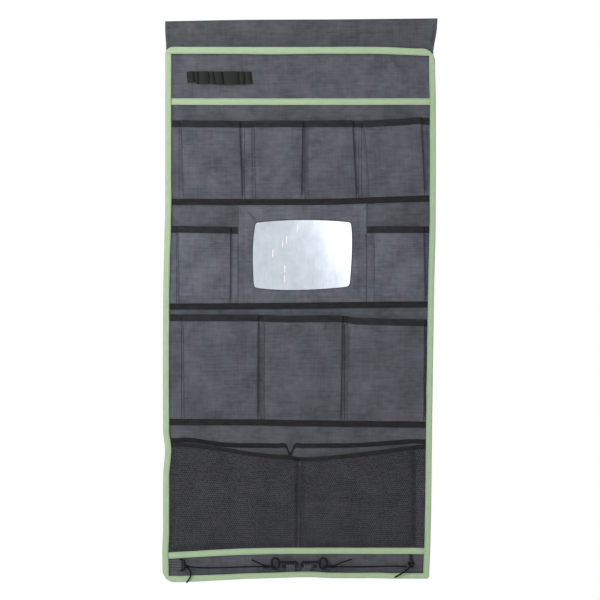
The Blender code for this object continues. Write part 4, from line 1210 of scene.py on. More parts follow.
@dataclass
class ToolLoops:
    """The elastic strip sewn down at seams, so that it stands out as loops."""

    top: float = -0.0676
    middle: float = -0.00275
    thickness: float = 0.0009
    rise: float = 0.0049
    roundness: float = 0.55
    full_loop: float = 0.020
    tail: float = 0.0015
    spacing: float = 0.0012
    seam_foot: float = -0.0890
    seam_lift: float = 0.0006
    seams: tuple[Pair, ...] = (
        (-0.2015, -0.1995), (-0.1895, -0.1880), (-0.1815, -0.1815), (-0.1627, -0.1620), (-0.1556, -0.1503),
        (-0.1386, -0.1360), (-0.1091, -0.1085), (-0.0993, -0.0990), (-0.0889, -0.0855),
    )
    foot: Wander = through(
        (-0.2030, -0.0882), (-0.1959, -0.0868), (-0.1887, -0.0870), (-0.1852, -0.0895), (-0.1600, -0.0893),
        (-0.1530, -0.0903), (-0.0975, -0.0903), (-0.0860, -0.0888),
    )

    def columns(self) -> list[Triple]:
        """Returns the strip's upright lines as places at the top and foot, and how far each stands out."""
        first, last = self.seams[0], self.seams[-1]
        found = [(first[0] - self.tail, first[1] - self.tail, 0.0)]
        for (top_start, foot_start), (top_end, foot_end) in zip(self.seams, self.seams[1:]):
            width = top_end - top_start
            rise = self.rise * min(1.0, (width / self.full_loop) ** 0.6)
            count = max(8, round(width / self.spacing))
            for step in range(count):
                share = step / count
                out = rise * max(math.sin(math.pi * share), 0.0) ** self.roundness
                found.append((mix(top_start, top_end, share), mix(foot_start, foot_end, share), out))
        found.append((last[0], last[1], 0.0))
        found.append((last[0] + self.tail, last[1] + self.tail, 0.0))
        return found

    def build(self) -> None:
        """Makes and dresses the strip and its seams."""
        patch = Patch()
        columns = self.columns()
        for share in (0.0, 0.06, 0.3, 0.5, 0.7, 0.94, 1.0):
            points, heights = [], []
            for top_x, foot_x, out in columns:
                x = mix(top_x, foot_x, share)
                z = mix(self.top + 0.0003 * soft_noise(x * 60.0, 2.0), self.foot.at(x), share)
                sway = out * (1.0 + 0.10 * soft_noise(x * 50.0, share * 2.0))
                points.append(HANG.place(x, self.middle - sway, z))
                heights.append(z)
            patch.add(points, zip(distances(points), heights))
        strip = patch.build("tool_loops", self.thickness, Finish.ELASTIC)
        hand_over(strip, Body.ORGANIZER, Slot.BLACK_ELASTIC, "tool_loop_elastic")
        seams = []
        for top_x, foot_x in self.seams:
            line = []
            for share in steps(0.0, 1.0, 0.1):
                z = mix(self.top, self.seam_foot, share)
                line.append(HANG.place(mix(top_x, foot_x, share), self.middle - self.seam_lift, z))
            seams.append(line)
        STITCHING.sew("tool_loop_stitching", seams, Finish.DARK_THREAD, Slot.BLACK_ELASTIC)


# Pocket rows


@dataclass(frozen=True)
class Station:
    """One upright line of a pocket row's cloth, from its foot to its mouth."""

    mouth: float
    foot: float
    depth: float = 0.0
    crown: float = 0.0
    under: float = 0.0


@dataclass
class PocketRow:
    """A strip of cloth or net with folded pockets, its foot under a tape and its mouth bound."""

    name: str
    node: str
    mouth: Wander
    base: Wander
    ends: Pair
    pockets: tuple[tuple[Pair, Pair], ...]
    fold_front: float = -0.0060
    crown: float = 0.0036
    finish: Finish = Finish.CLOTH
    binding_finish: Finish = Finish.BINDING
    flange: float = FLANGE_MIDDLE
    mouth_flange: float = BAND_MIDDLE
    mouth_run: float = 0.006
    foot_cover: float = 0.00535
    foot_hidden: float = 0.001
    foot_run: float = 0.016
    foot_zone: float = 0.022
    foot_step: float = 0.0015
    fold_radius: float = 0.0018
    fold_margin: float = 0.002
    root_under: float = 0.003
    root_open: float = 0.004
    wrinkling: float = 0.45
    seam_offset: float = 0.0030
    fold_shade_line_inset: float = 0.0010
    seam_lift: float = 0.0004
    seam_end_margin: float = 0.010
    binding_width: float = 0.0108
    measured_drop: float = 0.02
    outward_drop: float = 0.004
    step: float = 0.0035
    stations: list[Station] = field(default_factory=list)

    def __post_init__(self) -> None:
        """Lays out the upright lines from left to right."""
        self.add_flat(self.ends[0], self.pockets[0][0])
        for index, (left, right) in enumerate(self.pockets):
            self.add_pocket(left, right)
            if index + 1 < len(self.pockets):
                self.add_between(right, self.pockets[index + 1][0])
        fold, end = self.pockets[-1][1], self.ends[1]
        for x in steps(fold[0] + self.fold_margin, end, self.step)[1:]:
            share = (end - x) / max(end - fold[0], 1e-6)
            self.stations.append(Station(x, x + (fold[1] - fold[0]) * share))

    def add_flat(self, end: float, fold: Pair) -> None:
        """Adds the flat cloth between the left end and the first fold."""
        for x in steps(end, fold[0] - self.fold_margin, self.step)[:-1]:
            share = (x - end) / max(fold[0] - end, 1e-6)
            self.stations.append(Station(x, x + (fold[1] - fold[0]) * share))

    def add_between(self, left: Pair, right: Pair) -> None:
        """Adds the flat cloth of the seam between two pockets."""
        for share in (0.34, 0.66):
            self.stations.append(Station(mix(left[0], right[0], share), mix(left[1], right[1], share)))

    def fold_shape(self) -> list[Pair]:
        """Returns how far in each line of a fold lies, and its share of the depth, from panel to front."""
        turns = [math.radians(angle) for angle in (-75, -40, 0, 40, 75)]
        return [(self.fold_radius * (1.0 - math.cos(turn)), 0.5 + 0.5 * math.sin(turn)) for turn in turns]

    def add_pocket(self, left: Pair, right: Pair) -> None:
        """Adds one pocket: its left root and fold, its front, its right fold and root."""
        self.stations.append(Station(*left, under=1.0))
        for offset, depth in self.fold_shape():
            self.stations.append(Station(left[0] + offset, left[1] + offset, depth))
        start = (left[0] + self.fold_radius, left[1] + self.fold_radius)
        end = (right[0] - self.fold_radius, right[1] - self.fold_radius)
        for share in steps(0.0, 1.0, self.step / (end[0] - start[0])):
            swell = max(math.sin(math.pi * share), 0.0) ** 0.75
            mouth, foot = mix(start[0], end[0], share), mix(start[1], end[1], share)
            self.stations.append(Station(mouth, foot, 1.0, swell))
        for offset, depth in reversed(self.fold_shape()):
            self.stations.append(Station(right[0] - offset, right[1] - offset, depth))
        self.stations.append(Station(*right, under=-1.0))

    def foot_height(self, x: float) -> float:
        """Returns the height of the cloth's foot, under the base tape."""
        return self.base.at(x) - self.foot_cover + self.foot_hidden

    def middle_height(self) -> float:
        """Returns how tall the cloth is at the middle of the panel."""
        return self.mouth.at(0.0) - self.foot_height(0.0)

    def point(self, station: Station, drop: float | None = None, share: float = 1.0) -> Vector:
        """Returns a point of the cloth's middle.

        Args:
            station: the upright line.
            drop: how far below the mouth it lies, or None to use the share.
            share: the share of the way up from the foot.

        Returns:
            The hanging point.
        """
        top = self.mouth.at(station.mouth)
        low = self.foot_height(station.foot)
        if drop is not None:
            share = 1.0 - drop / (top - low)
        x = mix(station.foot, station.mouth, share)
        z = mix(self.foot_height(x), self.mouth.at(x), share)
        above = z - (self.base.at(x) + self.foot_cover)
        full = ease(above / self.foot_run)
        swell = ease(above / (self.foot_run * 4.0))
        x += station.under * (self.root_under * full - self.root_open * (1.0 - full))
        near_mouth = ease(1.0 - (top - z - self.binding_width) / self.mouth_run)
        flange = mix(self.flange, self.mouth_flange, near_mouth)
        wrinkle = 1.0 + self.wrinkling * soft_noise(x * 14.0, z * 9.0, 5.0)
        y = flange + station.depth * full * (self.fold_front - flange)
        y -= station.crown * swell * self.crown * wrinkle
        return HANG.place(x, y, z)

    def line(self, drop: float) -> list[Vector]:
        """Returns the cloth's points at a distance below the mouth."""
        return [self.point(station, drop) for station in self.stations]

    def lengths(self) -> list[float]:
        """Returns the distance along the cloth to each station, just under the mouth."""
        return distances(self.line(self.measured_drop))

    def make_cloth(self) -> bpy.types.Object:
        """Makes the row's cloth, with closer lines near the foot."""
        patch = Patch()
        lengths = self.lengths()
        height = self.middle_height()
        low = self.foot_zone / height
        for share in steps(0.0, low, self.foot_step / height) + steps(low, 1.0, self.step / height)[1:]:
            points = [self.point(station, share=share) for station in self.stations]
            patch.add(points, [(along, point.z) for along, point in zip(lengths, points)])
        return patch.build(self.name, CLOTH_THICKNESS, self.finish)

    def outward(self) -> list[Vector]:
        """Returns the direction out of the cloth's front at each station, at the mouth."""
        points = self.line(self.outward_drop)
        found = []
        for index in range(len(points)):
            run = points[min(index + 1, len(points) - 1)] - points[max(index - 1, 0)]
            found.append(Vector((run.y, -run.x, 0.0)).normalized())
        return found

    def make_binding(self) -> bpy.types.Object:
        """Makes the tape folded over the mouth, from its front foot over the mouth to its back foot."""
        outward = self.outward()
        lengths = self.lengths()
        width = self.binding_width
        section = (
            (width, 0.00072), (width - 0.0005, 0.0008), (width * 0.5, 0.00088), (0.0012, 0.0008),
            (0.0, 0.0008), (-0.0007, 0.0005), (-0.0009, 0.0), (-0.0007, -0.0005),
            (0.0, -0.0008), (0.0012, -0.0008), (width, -0.0008),
        )
        patch = Patch()
        across = 0.0
        for index, (drop, offset) in enumerate(section):
            if index:
                across += math.hypot(drop - section[index - 1][0], offset - section[index - 1][1])
            points = []
            for station, out, along in zip(self.stations, outward, lengths):
                wave = 0.0003 * soft_noise(along * 40.0, 4.0) if drop > 0.002 else 0.0
                points.append(self.point(station, drop + wave) + out * offset)
            patch.add(points, [(along, across) for along in lengths])
        return patch.build(f"{self.name}_mouth_tape", TAPE_THICKNESS, self.binding_finish)

    def binding_seam(self) -> list[Vector]:
        """Returns the line of stitches on the binding's front."""
        line = self.line(self.binding_width * 0.55)
        return [point + out * 0.0012 for point, out in zip(line, self.outward())]

    def seams_and_fold_shade_lines(self) -> list[list[Vector]]:
        """Returns the lines beside each fold: an upright seam in the flat cloth, and a dark thread line along
        the fold that is painted shade at the fold's edge.
        """
        stations = []
        low, high = self.ends[0] + self.seam_end_margin, self.ends[1] - self.seam_end_margin
        for left, right in self.pockets:
            for fold, inward in ((left, 1.0), (right, -1.0)):
                flat = inward * min(inward * fold[0], inward * fold[1]) - inward * self.seam_offset
                if low < flat < high:
                    stations.append(Station(flat, flat))
                # Dark thread just inside each fold's edge: painted shade where the fold stands over its root.
                stations.append(Station(*(place + inward * self.fold_shade_line_inset for place in fold), 1.0))
        shares = steps(0.05, 0.925, 0.02)
        return [
            forward([self.point(station, share=share) for share in shares], self.seam_lift)
            for station in stations
        ]

    def dress(self, binding_node: str) -> None:
        """Adds the binding and the stitches to the row's cloth."""
        hand_over(self.make_binding(), Body.ORGANIZER, Slot.BLACK_TAPE, binding_node)
        name, seam = f"{self.name}_mouth_stitching", self.binding_seam()
        STITCHING.sew(name, [seam], Finish.DARK_THREAD, Slot.BLACK_TAPE)
        name, seams = f"{self.name}_seam_and_fold_shade_stitching", self.seams_and_fold_shade_lines()
        SEAM_STITCHING.sew(name, seams, Finish.FOLD_THREAD, Slot.GREY_CLOTH)

    def build(self, binding_node: str, held: str) -> None:
        """Makes and dresses the whole row."""
        cloth = self.make_cloth()
        hand_over(cloth, Body.ORGANIZER, Slot.GREY_CLOTH, self.node)
        width, height = self.lengths()[-1], self.middle_height()
        self.dress(binding_node)


@dataclass
class Net(PocketRow):
    """The net pocket: a knitted net with open six-sided cells, in two halves."""

    column: float = 0.0038
    row: float = 0.0033
    strand: float = 0.00056
    net_thickness: float = 0.00035
    thread_share: float = 0.78
    split: float = 0.001

    def fold_shape(self) -> list[Pair]:
        """Returns the net's soft rise from the panel, in the same form as a cloth fold."""
        return [(self.fold_radius * share, ease(share)) for share in (0.1, 0.3, 0.5, 0.7, 0.9)]

    def locate(self, lengths: Sequence[float], along: float, share: float) -> Vector:
        """Returns the point of the net's sheet at a distance along it and a share of its height."""
        index = int(np.searchsorted(lengths, along)) - 1
        index = min(max(index, 0), len(lengths) - 2)
        run = max(lengths[index + 1] - lengths[index], 1e-9)
        part = min(max((along - lengths[index]) / run, 0.0), 1.0)
        left = self.point(self.stations[index], share=share)
        return left.lerp(self.point(self.stations[index + 1], share=share), part)

    def cell(self, along: float, level: float) -> list[Pair]:
        """Returns the corners of one cell round its middle, in the net's own plane."""
        half = self.column / 2.0
        tall, short = self.row * 0.68, self.row * 0.34
        corners = ((0.0, tall), (-half, short), (-half, -short), (0.0, -tall), (half, -short), (half, short))
        return [(along + across, level + up) for across, up in corners]

    def make_half(self, name: str, start: float, end: float) -> bpy.types.Object:
        """Makes the net between two distances along it."""
        lengths = self.lengths()
        height = self.middle_height()
        points: list[Vector] = []
        threads: list[Pair] = []
        faces: list[tuple[int, ...]] = []
        known: dict[tuple[int, int], int] = {}

        def number(place: Pair, shared: bool) -> int:
            """Returns a point's number, the same one again for a shared corner."""
            key = (round(place[0] * 1e6), round(place[1] * 1e6))
            if shared and key in known:
                return known[key]
            share = min(max(place[1] / height, 0.0), 1.0)
            points.append(self.locate(lengths, place[0], share))
            threads.append(place)
            if shared:
                known[key] = len(points) - 1
            return len(points) - 1

        for level in range(round(height / self.row)):
            shift = self.column / 2.0 if level % 2 else 0.0
            for place in range(int((end - start) / self.column)):
                middle = (start + (place + 0.5) * self.column + shift, (level + 0.5) * self.row)
                corners = self.cell(*middle)
                outer = [number(corner, True) for corner in corners]
                inner = []
                for corner in corners:
                    reach = math.hypot(corner[0] - middle[0], corner[1] - middle[1])
                    keep = 1.0 - self.strand / (reach * 0.87)
                    inside = (mix(middle[0], corner[0], keep), mix(middle[1], corner[1], keep))
                    inner.append(number(inside, False))
                for side in range(6):
                    beside = (side + 1) % 6
                    faces.append((outer[side], outer[beside], inner[beside], inner[side]))
        piece = make_object(name, points, faces, threads, Finish.NET)
        thicken(piece, self.net_thickness)
        smooth(piece, 60.0)
        return piece

    def build(self, binding_node: str, held: str) -> None:
        """Makes and dresses both halves, the mouth tape and the stitches."""
        lengths = self.lengths()
        middle = 0.0
        for station, along in zip(self.stations, lengths):
            if station.mouth < self.split:
                middle = along
        halves = (("net_left_half", 0.0, middle), ("net_right_half", middle, lengths[-1]))
        for name, start, end in halves:
            half = self.make_half(name, start, end)
            hand_over(half, Body.ORGANIZER, Slot.BLACK_NET, self.node)
            flat = (round(end - start, 3), round(self.middle_height(), 3))
        self.dress(binding_node)


def make_rows() -> None:
    """Makes the pocket rows, from the top to the foot."""
    whole = (-CLOTH_EDGE, CLOTH_EDGE)
    upper_mouth = through(
        (-0.232, -0.1558), (-0.212, -0.1560), (-0.180, -0.1570), (-0.06, -0.1567), (0.05, -0.1566),
        (0.088, -0.1560), (0.118, -0.1568), (0.144, -0.1555), (0.180, -0.1538), (0.212, -0.1507),
        (0.234, -0.1525),
    )
    upper_pockets = (
        ((-0.2133, -0.2084), (-0.1079, -0.1020)),
        ((-0.0827, -0.0803), (0.0054, 0.0027)),
        ((0.0134, 0.0134), (0.0939, 0.1020)),
        ((0.1131, 0.1242), (0.2165, 0.2236)),
    )
    left_mouth = through((-0.232, -0.3446), (-0.115, -0.3466))
    left_pocket = (((-0.2174, -0.2174), (-0.1234, -0.1245)),)
    right_mouth = through((0.118, -0.3455), (0.232, -0.3455))
    right_pocket = (((0.1311, 0.1327), (0.2213, 0.2245)),)
    lower_mouth = through(
        (-0.232, -0.5028), (-0.08, -0.5032), (-0.02, -0.5052), (0.02, -0.5044), (0.075, -0.5048),
        (0.100, -0.5083), (0.226, -0.5121),
    )
    lower_pockets = (
        ((-0.2090, -0.2077), (-0.0746, -0.0753)),
        ((-0.0642, -0.0651), (0.0762, 0.0732)),
        ((0.0871, 0.0832), (0.2229, 0.2222)),
    )
    net_mouth = through(
        (-0.232, -0.7310), (-0.198, -0.7320), (-0.160, -0.7365), (-0.126, -0.7410), (-0.106, -0.7448),
        (-0.0707, -0.7496), (-0.0206, -0.7541), (0.0009, -0.7578), (0.0447, -0.7555), (0.117, -0.7475),
        (0.182, -0.7395), (0.207, -0.7365), (0.230, -0.7350),
    )
    net_base = through(
        (-0.232, -0.9339), (-0.18, -0.9305), (-0.124, -0.9276), (-0.053, -0.9258), (0.207, -0.9258)
    )
    net_halves = (((-0.2300, -0.2300), (-0.0010, -0.0028)), ((0.0022, 0.0004), (0.2056, 0.2056)))
    upper = PocketRow("upper_pockets", "upper_pocket_row", upper_mouth, UPPER_FOOT, whole, upper_pockets)
    left = PocketRow(
        "left_pocket", "left_side_pocket", left_mouth, MIDDLE_FOOT, (-CLOTH_EDGE, -0.1118), left_pocket
    )
    right = PocketRow(
        "right_pocket", "right_side_pocket", right_mouth, MIDDLE_FOOT, (0.1202, CLOTH_EDGE), right_pocket
    )
    lower = PocketRow("lower_pockets", "lower_pocket_row", lower_mouth, LOWER_FOOT, whole, lower_pockets)
    left.finish = right.finish = Finish.MIDDLE_CLOTH
    lower.finish = Finish.LOWER_CLOTH
    net = Net(
        "net_pocket",
        "mesh_pocket",
        net_mouth,
        net_base,
        whole,
        net_halves,
        fold_front=-0.0083,
        crown=0.0050,
        fold_radius=0.0100,
        root_under=0.0,
        root_open=0.0,
        seam_offset=0.0010,
        binding_width=0.0062,
        binding_finish=Finish.BLACK_TAPE,
    )
    for row in (upper, left, right, lower, net):
        row.build(f"{row.node}_binding", "gathered")


# The mirror


@dataclass
class Mirror:
    """The mirror sheet and the cloth frame over it, with a barrel-shaped window."""

    frame_left: float = -0.1115
    frame_right: float = 0.1199
    frame_top: float = -0.3006
    frame_bottom: float = -0.4867
    sheet: tuple[float, float, float, float] = (-0.0923, 0.1007, -0.4662, -0.3248)
    sheet_middle: float = -0.0020
    sheet_thickness: float = 0.0010
    raised: float = -0.00305
    rolled_edge: float = 0.0003
    hidden_rim: float = 0.0010
    step_run: float = 0.0060
    spacing: float = 0.004
    window_seam: float = 0.0014
    side_seam: float = 0.0012
    seam_lift: float = 0.0004
    mark_lift: float = 0.00010
    mark_lean: float = 0.0012
    marks: tuple[Triple, ...] = (
        (-0.0479, -0.3837, 0.017),
        (-0.0304, -0.3676, 0.017),
        (-0.0233, -0.3605, 0.017),
        (-0.0268, -0.4124, 0.034),
        (-0.0036, -0.3390, 0.017),
    )
    window: tuple[Pair, ...] = (
        (-0.0791, -0.3378), (0.0063, -0.3328), (0.0903, -0.3372), (0.0930, -0.3784),
        (0.0886, -0.4517), (-0.0081, -0.4580), (-0.0821, -0.4535), (-0.0843, -0.3873),
    )
    per_side: int = 110
    roundings: int = 16

    def window_line(self) -> list[Pair]:
        """Returns the window's edge from the top left corner round, with softly rounded corners."""
        line: list[Pair] = []
        for side in range(4):
            start = self.window[2 * side]
            bulge = self.window[2 * side + 1]
            end = self.window[(2 * side + 2) % 8]
            middle = ((start[0] + end[0]) / 2.0, (start[1] + end[1]) / 2.0)
            for step in range(self.per_side):
                share = step / self.per_side
                arch = 4.0 * share * (1.0 - share)
                x = mix(start[0], end[0], share) + (bulge[0] - middle[0]) * arch
                z = mix(start[1], end[1], share) + (bulge[1] - middle[1]) * arch
                line.append((x, z))
        for _ in range(self.roundings):
            around = zip([line[-1], *line[:-1]], line, [*line[1:], line[0]])
            line = [
                tuple(0.25 * before[axis] + 0.5 * here[axis] + 0.25 * after[axis] for axis in (0, 1))
                for before, here, after in around
            ]
        return line

    def outer_line(self) -> list[Pair]:
        """Returns the frame's edge, one point for each point of the window's."""
        corners = (
            (self.frame_left, self.frame_top),
            (self.frame_right, self.frame_top),
            (self.frame_right, self.frame_bottom),
            (self.frame_left, self.frame_bottom),
        )
        line = []
        for side in range(4):
            start, end = corners[side], corners[(side + 1) % 4]
            for step in range(self.per_side):
                share = step / self.per_side
                line.append((mix(start[0], end[0], share), mix(start[1], end[1], share)))
        return line

    def depth(self, x: float, z: float) -> float:
        """Returns the frame's depth: raised over the sheet, and down on the panel beyond it."""
        left, right, low, high = self.sheet
        beyond = max(left - x, x - right, low - z, z - high)
        return mix(self.raised, FLANGE_MIDDLE, ease((beyond - self.hidden_rim) / self.step_run))

    def make_film(self) -> None:
        """Makes and dresses the mirror sheet."""
        patch = Patch()
        places = steps(self.sheet[0], self.sheet[1], self.spacing)
        for z in steps(self.sheet[3], self.sheet[2], self.spacing):
            patch.add([HANG.place(x, self.sheet_middle, z) for x in places], [(x, z) for x in places])
        sheet = patch.build("mirror_film", self.sheet_thickness, Finish.MIRROR)
        hand_over(sheet, Body.ORGANIZER, Slot.MIRROR_PLASTIC, "mirror_sheet")

    def make_marks(self) -> None:
        """Makes and dresses the white marks on the mirror sheet."""
        front = self.sheet_middle - self.sheet_thickness / 2.0 - self.mark_lift
        marks = []
        for x, top, length in self.marks:
            line = [(x - self.mark_lean * share, top - length * share) for share in (0.0, 0.5, 1.0)]
            marks.append([HANG.place(across, front, up) for across, up in line])
        MARKING.sew("mirror_film_marks", marks, Finish.MARK, Slot.MIRROR_PLASTIC)

    def make_frame(self) -> None:
        """Makes and dresses the cloth frame and its stitches."""
        window, outer = self.window_line(), self.outer_line()
        patch = Patch()
        for share in (0.0, 0.01, 0.04, 0.1, *steps(0.16, 1.0, 0.05)):
            rolled = self.rolled_edge if share == 0.0 else 0.0
            pairs = zip(window, outer)
            threads = [(mix(near[0], far[0], share), mix(near[1], far[1], share)) for near, far in pairs]
            patch.add([HANG.place(x, self.depth(x, z) + rolled, z) for x, z in threads], threads)
        cloth = patch.build("mirror_frame_cloth", CLOTH_THICKNESS, Finish.MIDDLE_CLOTH, closed=True)
        hand_over(cloth, Body.ORGANIZER, Slot.GREY_CLOTH, "mirror_frame")
        seam = []
        for near, far in zip(window, outer):
            share = self.window_seam / math.hypot(far[0] - near[0], far[1] - near[1])
            x, z = mix(near[0], far[0], share), mix(near[1], far[1], share)
            seam.append(HANG.place(x, self.raised - self.seam_lift, z))
        lines = [[*seam, seam[0]]]
        heights = steps(self.frame_top - self.spacing, self.frame_bottom + self.spacing, self.spacing)
        for x in (self.frame_left + self.side_seam, self.frame_right - self.side_seam):
            lines.append([HANG.place(x, FLANGE_MIDDLE - self.seam_lift, z) for z in heights])
        SEAM_STITCHING.sew("mirror_frame_stitching", lines, Finish.FOLD_THREAD, Slot.GREY_CLOTH)

    def build(self) -> None:
        """Makes and dresses the mirror, its frame and its marks."""
        self.make_film()
        self.make_frame()
        self.make_marks()


# The pole sleeve


@dataclass
class Sleeve:
    """The cloth sleeve that goes round a tent pole: a front leaf, the fold on top and a rear flap."""

    reach: float = 0.0116
    widest: float = 0.006
    top: float = 0.0246
    thickness: float = 0.0008
    leaf_y: float = 0.0015
    leaf_neck: float = -0.0238
    leaf_bottom: float = -0.038
    flap_y: float = 0.0029
    flap_neck: float = -0.025
    flap_bottom: float = -0.066
    fold_angle: float = 62.0
    bend_half: float = 0.005
    spacing: float = 0.004
    width: float = 0.48
    hem: float = 0.0118
    seam_lift: float = 0.0005
    closure_half: float = 0.225
    closure_ends: Pair = (-0.043, -0.063)
    top_lift: Wander = through((-0.24, -0.0022), (-0.10, 0.0004), (0.06, 0.0012), (0.24, 0.0030))
    left_end: Wander = through((-0.066, -0.2390), (-0.020, -0.2398), (0.022, -0.2408))
    right_end: Wander = through((-0.066, 0.2380), (-0.030, 0.2390), (0.005, 0.2440), (0.026, 0.2460))

    def section(self, side: float, share: float) -> Pair:
        """Returns depth and height on one side of the sleeve.

        Args:
            side: -1 for the front, 1 for the rear.
            share: 0 at the top, 1 at the widest place, 2 at the neck, 3 at the bottom.

        Returns:
            The depth and the height.
        """
        neck_y, neck, bottom = self.leaf_y, self.leaf_neck, self.leaf_bottom
        if side > 0:
            neck_y, neck, bottom = self.flap_y, self.flap_neck, self.flap_bottom
        if share <= 1.0:
            angle = math.pi / 2.0 * (1.0 - share)
            y = side * self.reach * math.cos(angle)
            z = self.widest + (self.top - self.widest) * math.sin(angle)
            return y, z
        if share <= 2.0:
            turn = (1.0 - math.cos(math.pi * (share - 1.0))) / 2.0
            return mix(side * self.reach, neck_y, turn), mix(self.widest, neck, share - 1.0)
        return neck_y, mix(neck, bottom, share - 2.0)

    def point(self, side: float, share: float, across: float) -> Vector:
        """Returns a point of the sleeve's cloth, across from 0 at the left to 1 at the right."""
        y, z = self.section(side, share)
        x = mix(self.left_end.at(z), self.right_end.at(z), across)
        # The widest part carries slow waves, a deep level crease, and a ridge and a crease under it
        bulge = ease(share) * ease(2.0 - share)
        y += side * bulge * (0.0007 * soft_noise(x * 12.0, z * 30.0, 9.0) - 0.0019 * hump(z - 0.0125, 0.0030))
        y += side * bulge * (0.0006 * hump(z - 0.0060, 0.0022) - 0.0005 * hump(z + 0.004, 0.003))
        lift = self.top_lift.at(x) * ease((z + 0.010) / 0.030)
        return Vector((x, y - HANG.relief(x, z), z + lift))

    def rows(self, side: float, shares: Sequence[float]) -> Patch:
        """Returns the cloth between some shares down one side."""
        places = steps(0.0, 1.0, self.spacing / self.width)
        rows = [[self.point(side, share, across) for across in places] for share in shares]
        patch = Patch()
        for points, travelled in zip(rows, distances([row[0] for row in rows])):
            patch.add(points, [(point.x, travelled) for point in points])
        return patch

    def build(self) -> None:
        """Makes and dresses the three parts of the sleeve, its hems and its closure tapes."""
        joint = 1.0 - self.fold_angle / 90.0
        lower = steps(joint, 1.0, 0.05) + steps(1.0, 2.0, 0.05)[1:] + steps(2.0, 3.0, 0.1)[1:]
        leaf = self.rows(-1.0, lower).build("sleeve_front", self.thickness, Finish.SLEEVE_CLOTH)
        hand_over(leaf, Body.ORGANIZER, Slot.GREY_CLOTH, "sleeve_front_leaf")
        flap = self.rows(1.0, lower).build("sleeve_rear", self.thickness, Finish.SLEEVE_CLOTH)
        hand_over(flap, Body.FLAP, Slot.GREY_CLOTH, "sleeve_rear_flap")
        front = self.rows(-1.0, steps(joint, 0.0, 0.03))
        rear = self.rows(1.0, steps(0.0, joint, 0.03)[1:])
        front.points += rear.points
        front.threads += rear.threads
        fold = front.build("sleeve_fold", self.thickness, Finish.SLEEVE_CLOTH)
        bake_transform(fold)
        hand_over(fold, None, Slot.GREY_CLOTH, "sleeve_front_leaf", "sleeve_rear_flap")
        hems = []
        for across in (self.hem, 1.0 - self.hem):
            line = [self.point(-1.0, share, across) for share in steps(0.2, 1.9, 0.05)]
            hems.append(forward(line, self.seam_lift))
        SEAM_STITCHING.sew("sleeve_hem_stitching", hems, Finish.FOLD_THREAD, Slot.GREY_CLOTH)
        self.closure("loop_tape", "sleeve_loop_tape", 0.0007, Body.ORGANIZER)
        self.closure("hook_tape", "flap_hook_tape", 0.0018, Body.FLAP)

    def closure(self, name: str, node: str, y: float, body: Body) -> None:
        """Makes one half of the closure between the flap and the panel."""
        patch = Patch()
        places = steps(-self.closure_half, self.closure_half, self.spacing)
        for z in steps(*self.closure_ends, self.spacing):
            patch.add([HANG.wave(x, y, z) for x in places], [(x, z) for x in places])
        piece = patch.build(f"closure_{name}", self.thickness, Finish.CLOSURE)
        hand_over(piece, body, Slot.HOOK_AND_LOOP, node)


# Tabs, hooks and cords


def arc(centre: Pair, radius: float, start: float, end: float, count: int) -> list[Pair]:
    """Returns points on an arc, with its angles in degrees."""
    found = []
    for step in range(count + 1):
        angle = math.radians(mix(start, end, step / count))
        found.append((centre[0] + radius * math.cos(angle), centre[1] + radius * math.sin(angle)))
    return found


def make_strap(
    name: str, rows: Sequence[Sequence[Vector]], thickness: float, finish: Finish
) -> bpy.types.Object:
    """Makes a short strap from rows of points across it."""
    patch = Patch()
    for row, travelled in zip(rows, distances([row[0] for row in rows])):
        patch.add(row, [((point - row[0]).length, travelled) for point in row])
    return patch.build(name, thickness, finish)


@dataclass
class Tabs:
    """The webbing tabs and the tape loop that hold the cords and hooks."""

    thickness: float = 0.0010
    hook_line: tuple[Pair, ...] = ((-0.0020, -0.9690), (-0.0020, -0.9655), (-0.0020, -0.9622))
    hook_end: Pair = (-0.0036, -0.9618)
    hook_radius: float = 0.0028
    spacing: float = 0.0025
    cord_tab_heights: Pair = (-0.9573, -0.9411)
    cord_loop_sides: Pair = (0.19575, 0.20125)
    cord_loop_spacing: float = 0.0011

    def hook_tab(self, name: str, node: str, left: float, right: float, lean: float) -> None:
        """Makes the tab that one hook's bar lies in, leaning to the left by so much at its foot."""
        turn = arc((CORD_DEPTH, CORD_LINE), self.hook_radius, -30, 215, 20)
        rows = []
        for y, z in [*self.hook_line, *turn, self.hook_end]:
            slide = min(lean * (z - CORD_LINE) / (CORD_LINE + 0.963), 0.0)
            rows.append([Vector((x + slide, y, z)) for x in steps(left, right, self.spacing)])
        tab = make_strap(name, rows, self.thickness, Finish.WEBBING)
        hand_over(tab, Body.ORGANIZER, Slot.GREY_WEBBING, node)

    def cord_tab(self) -> None:
        """Makes the tab that the left cord's loop runs through."""
        line = [(-0.2392, -0.0020), (-0.2300, -0.0020)]
        line += arc((-0.2133, -0.0042), 0.0022, 90, -90, 10)
        line += [(-0.2213, -0.0039), (-0.2278, -0.0033)]
        heights = steps(*self.cord_tab_heights, self.spacing)
        rows = [[Vector((x, y, z)) for z in heights] for x, y in line]
        tab = make_strap("left_webbing_tab", rows, self.thickness, Finish.WEBBING)
        hand_over(tab, Body.ORGANIZER, Slot.GREY_WEBBING, "left_cord_tab")

    def cord_loop(self) -> None:
        """Makes the flat tape loop that the right cord's loop runs through."""
        line = [(-0.00175, -0.9296), (-0.00175, -0.9400)]
        line += arc((-0.0037, -0.9452), 0.00195, 0, -180, 10)
        line += [(-0.0046, -0.9395), (-0.00255, -0.9344)]
        places = steps(*self.cord_loop_sides, self.cord_loop_spacing)
        rows = [[Vector((x, y, z)) for x in places] for y, z in line]
        loop = make_strap("right_tape_loop", rows, TAPE_THICKNESS, Finish.BLACK_TAPE)
        hand_over(loop, Body.ORGANIZER, Slot.BLACK_TAPE, "right_cord_loop")

    def build(self) -> None:
        """Makes all four."""
        self.cord_tab()
        self.cord_loop()
        self.hook_tab("left_hook_webbing", "left_hook_tab", -0.0242, -0.0092, 0.0)
        self.hook_tab("right_hook_webbing", "right_hook_tab", 0.0072, 0.0222, 0.007)


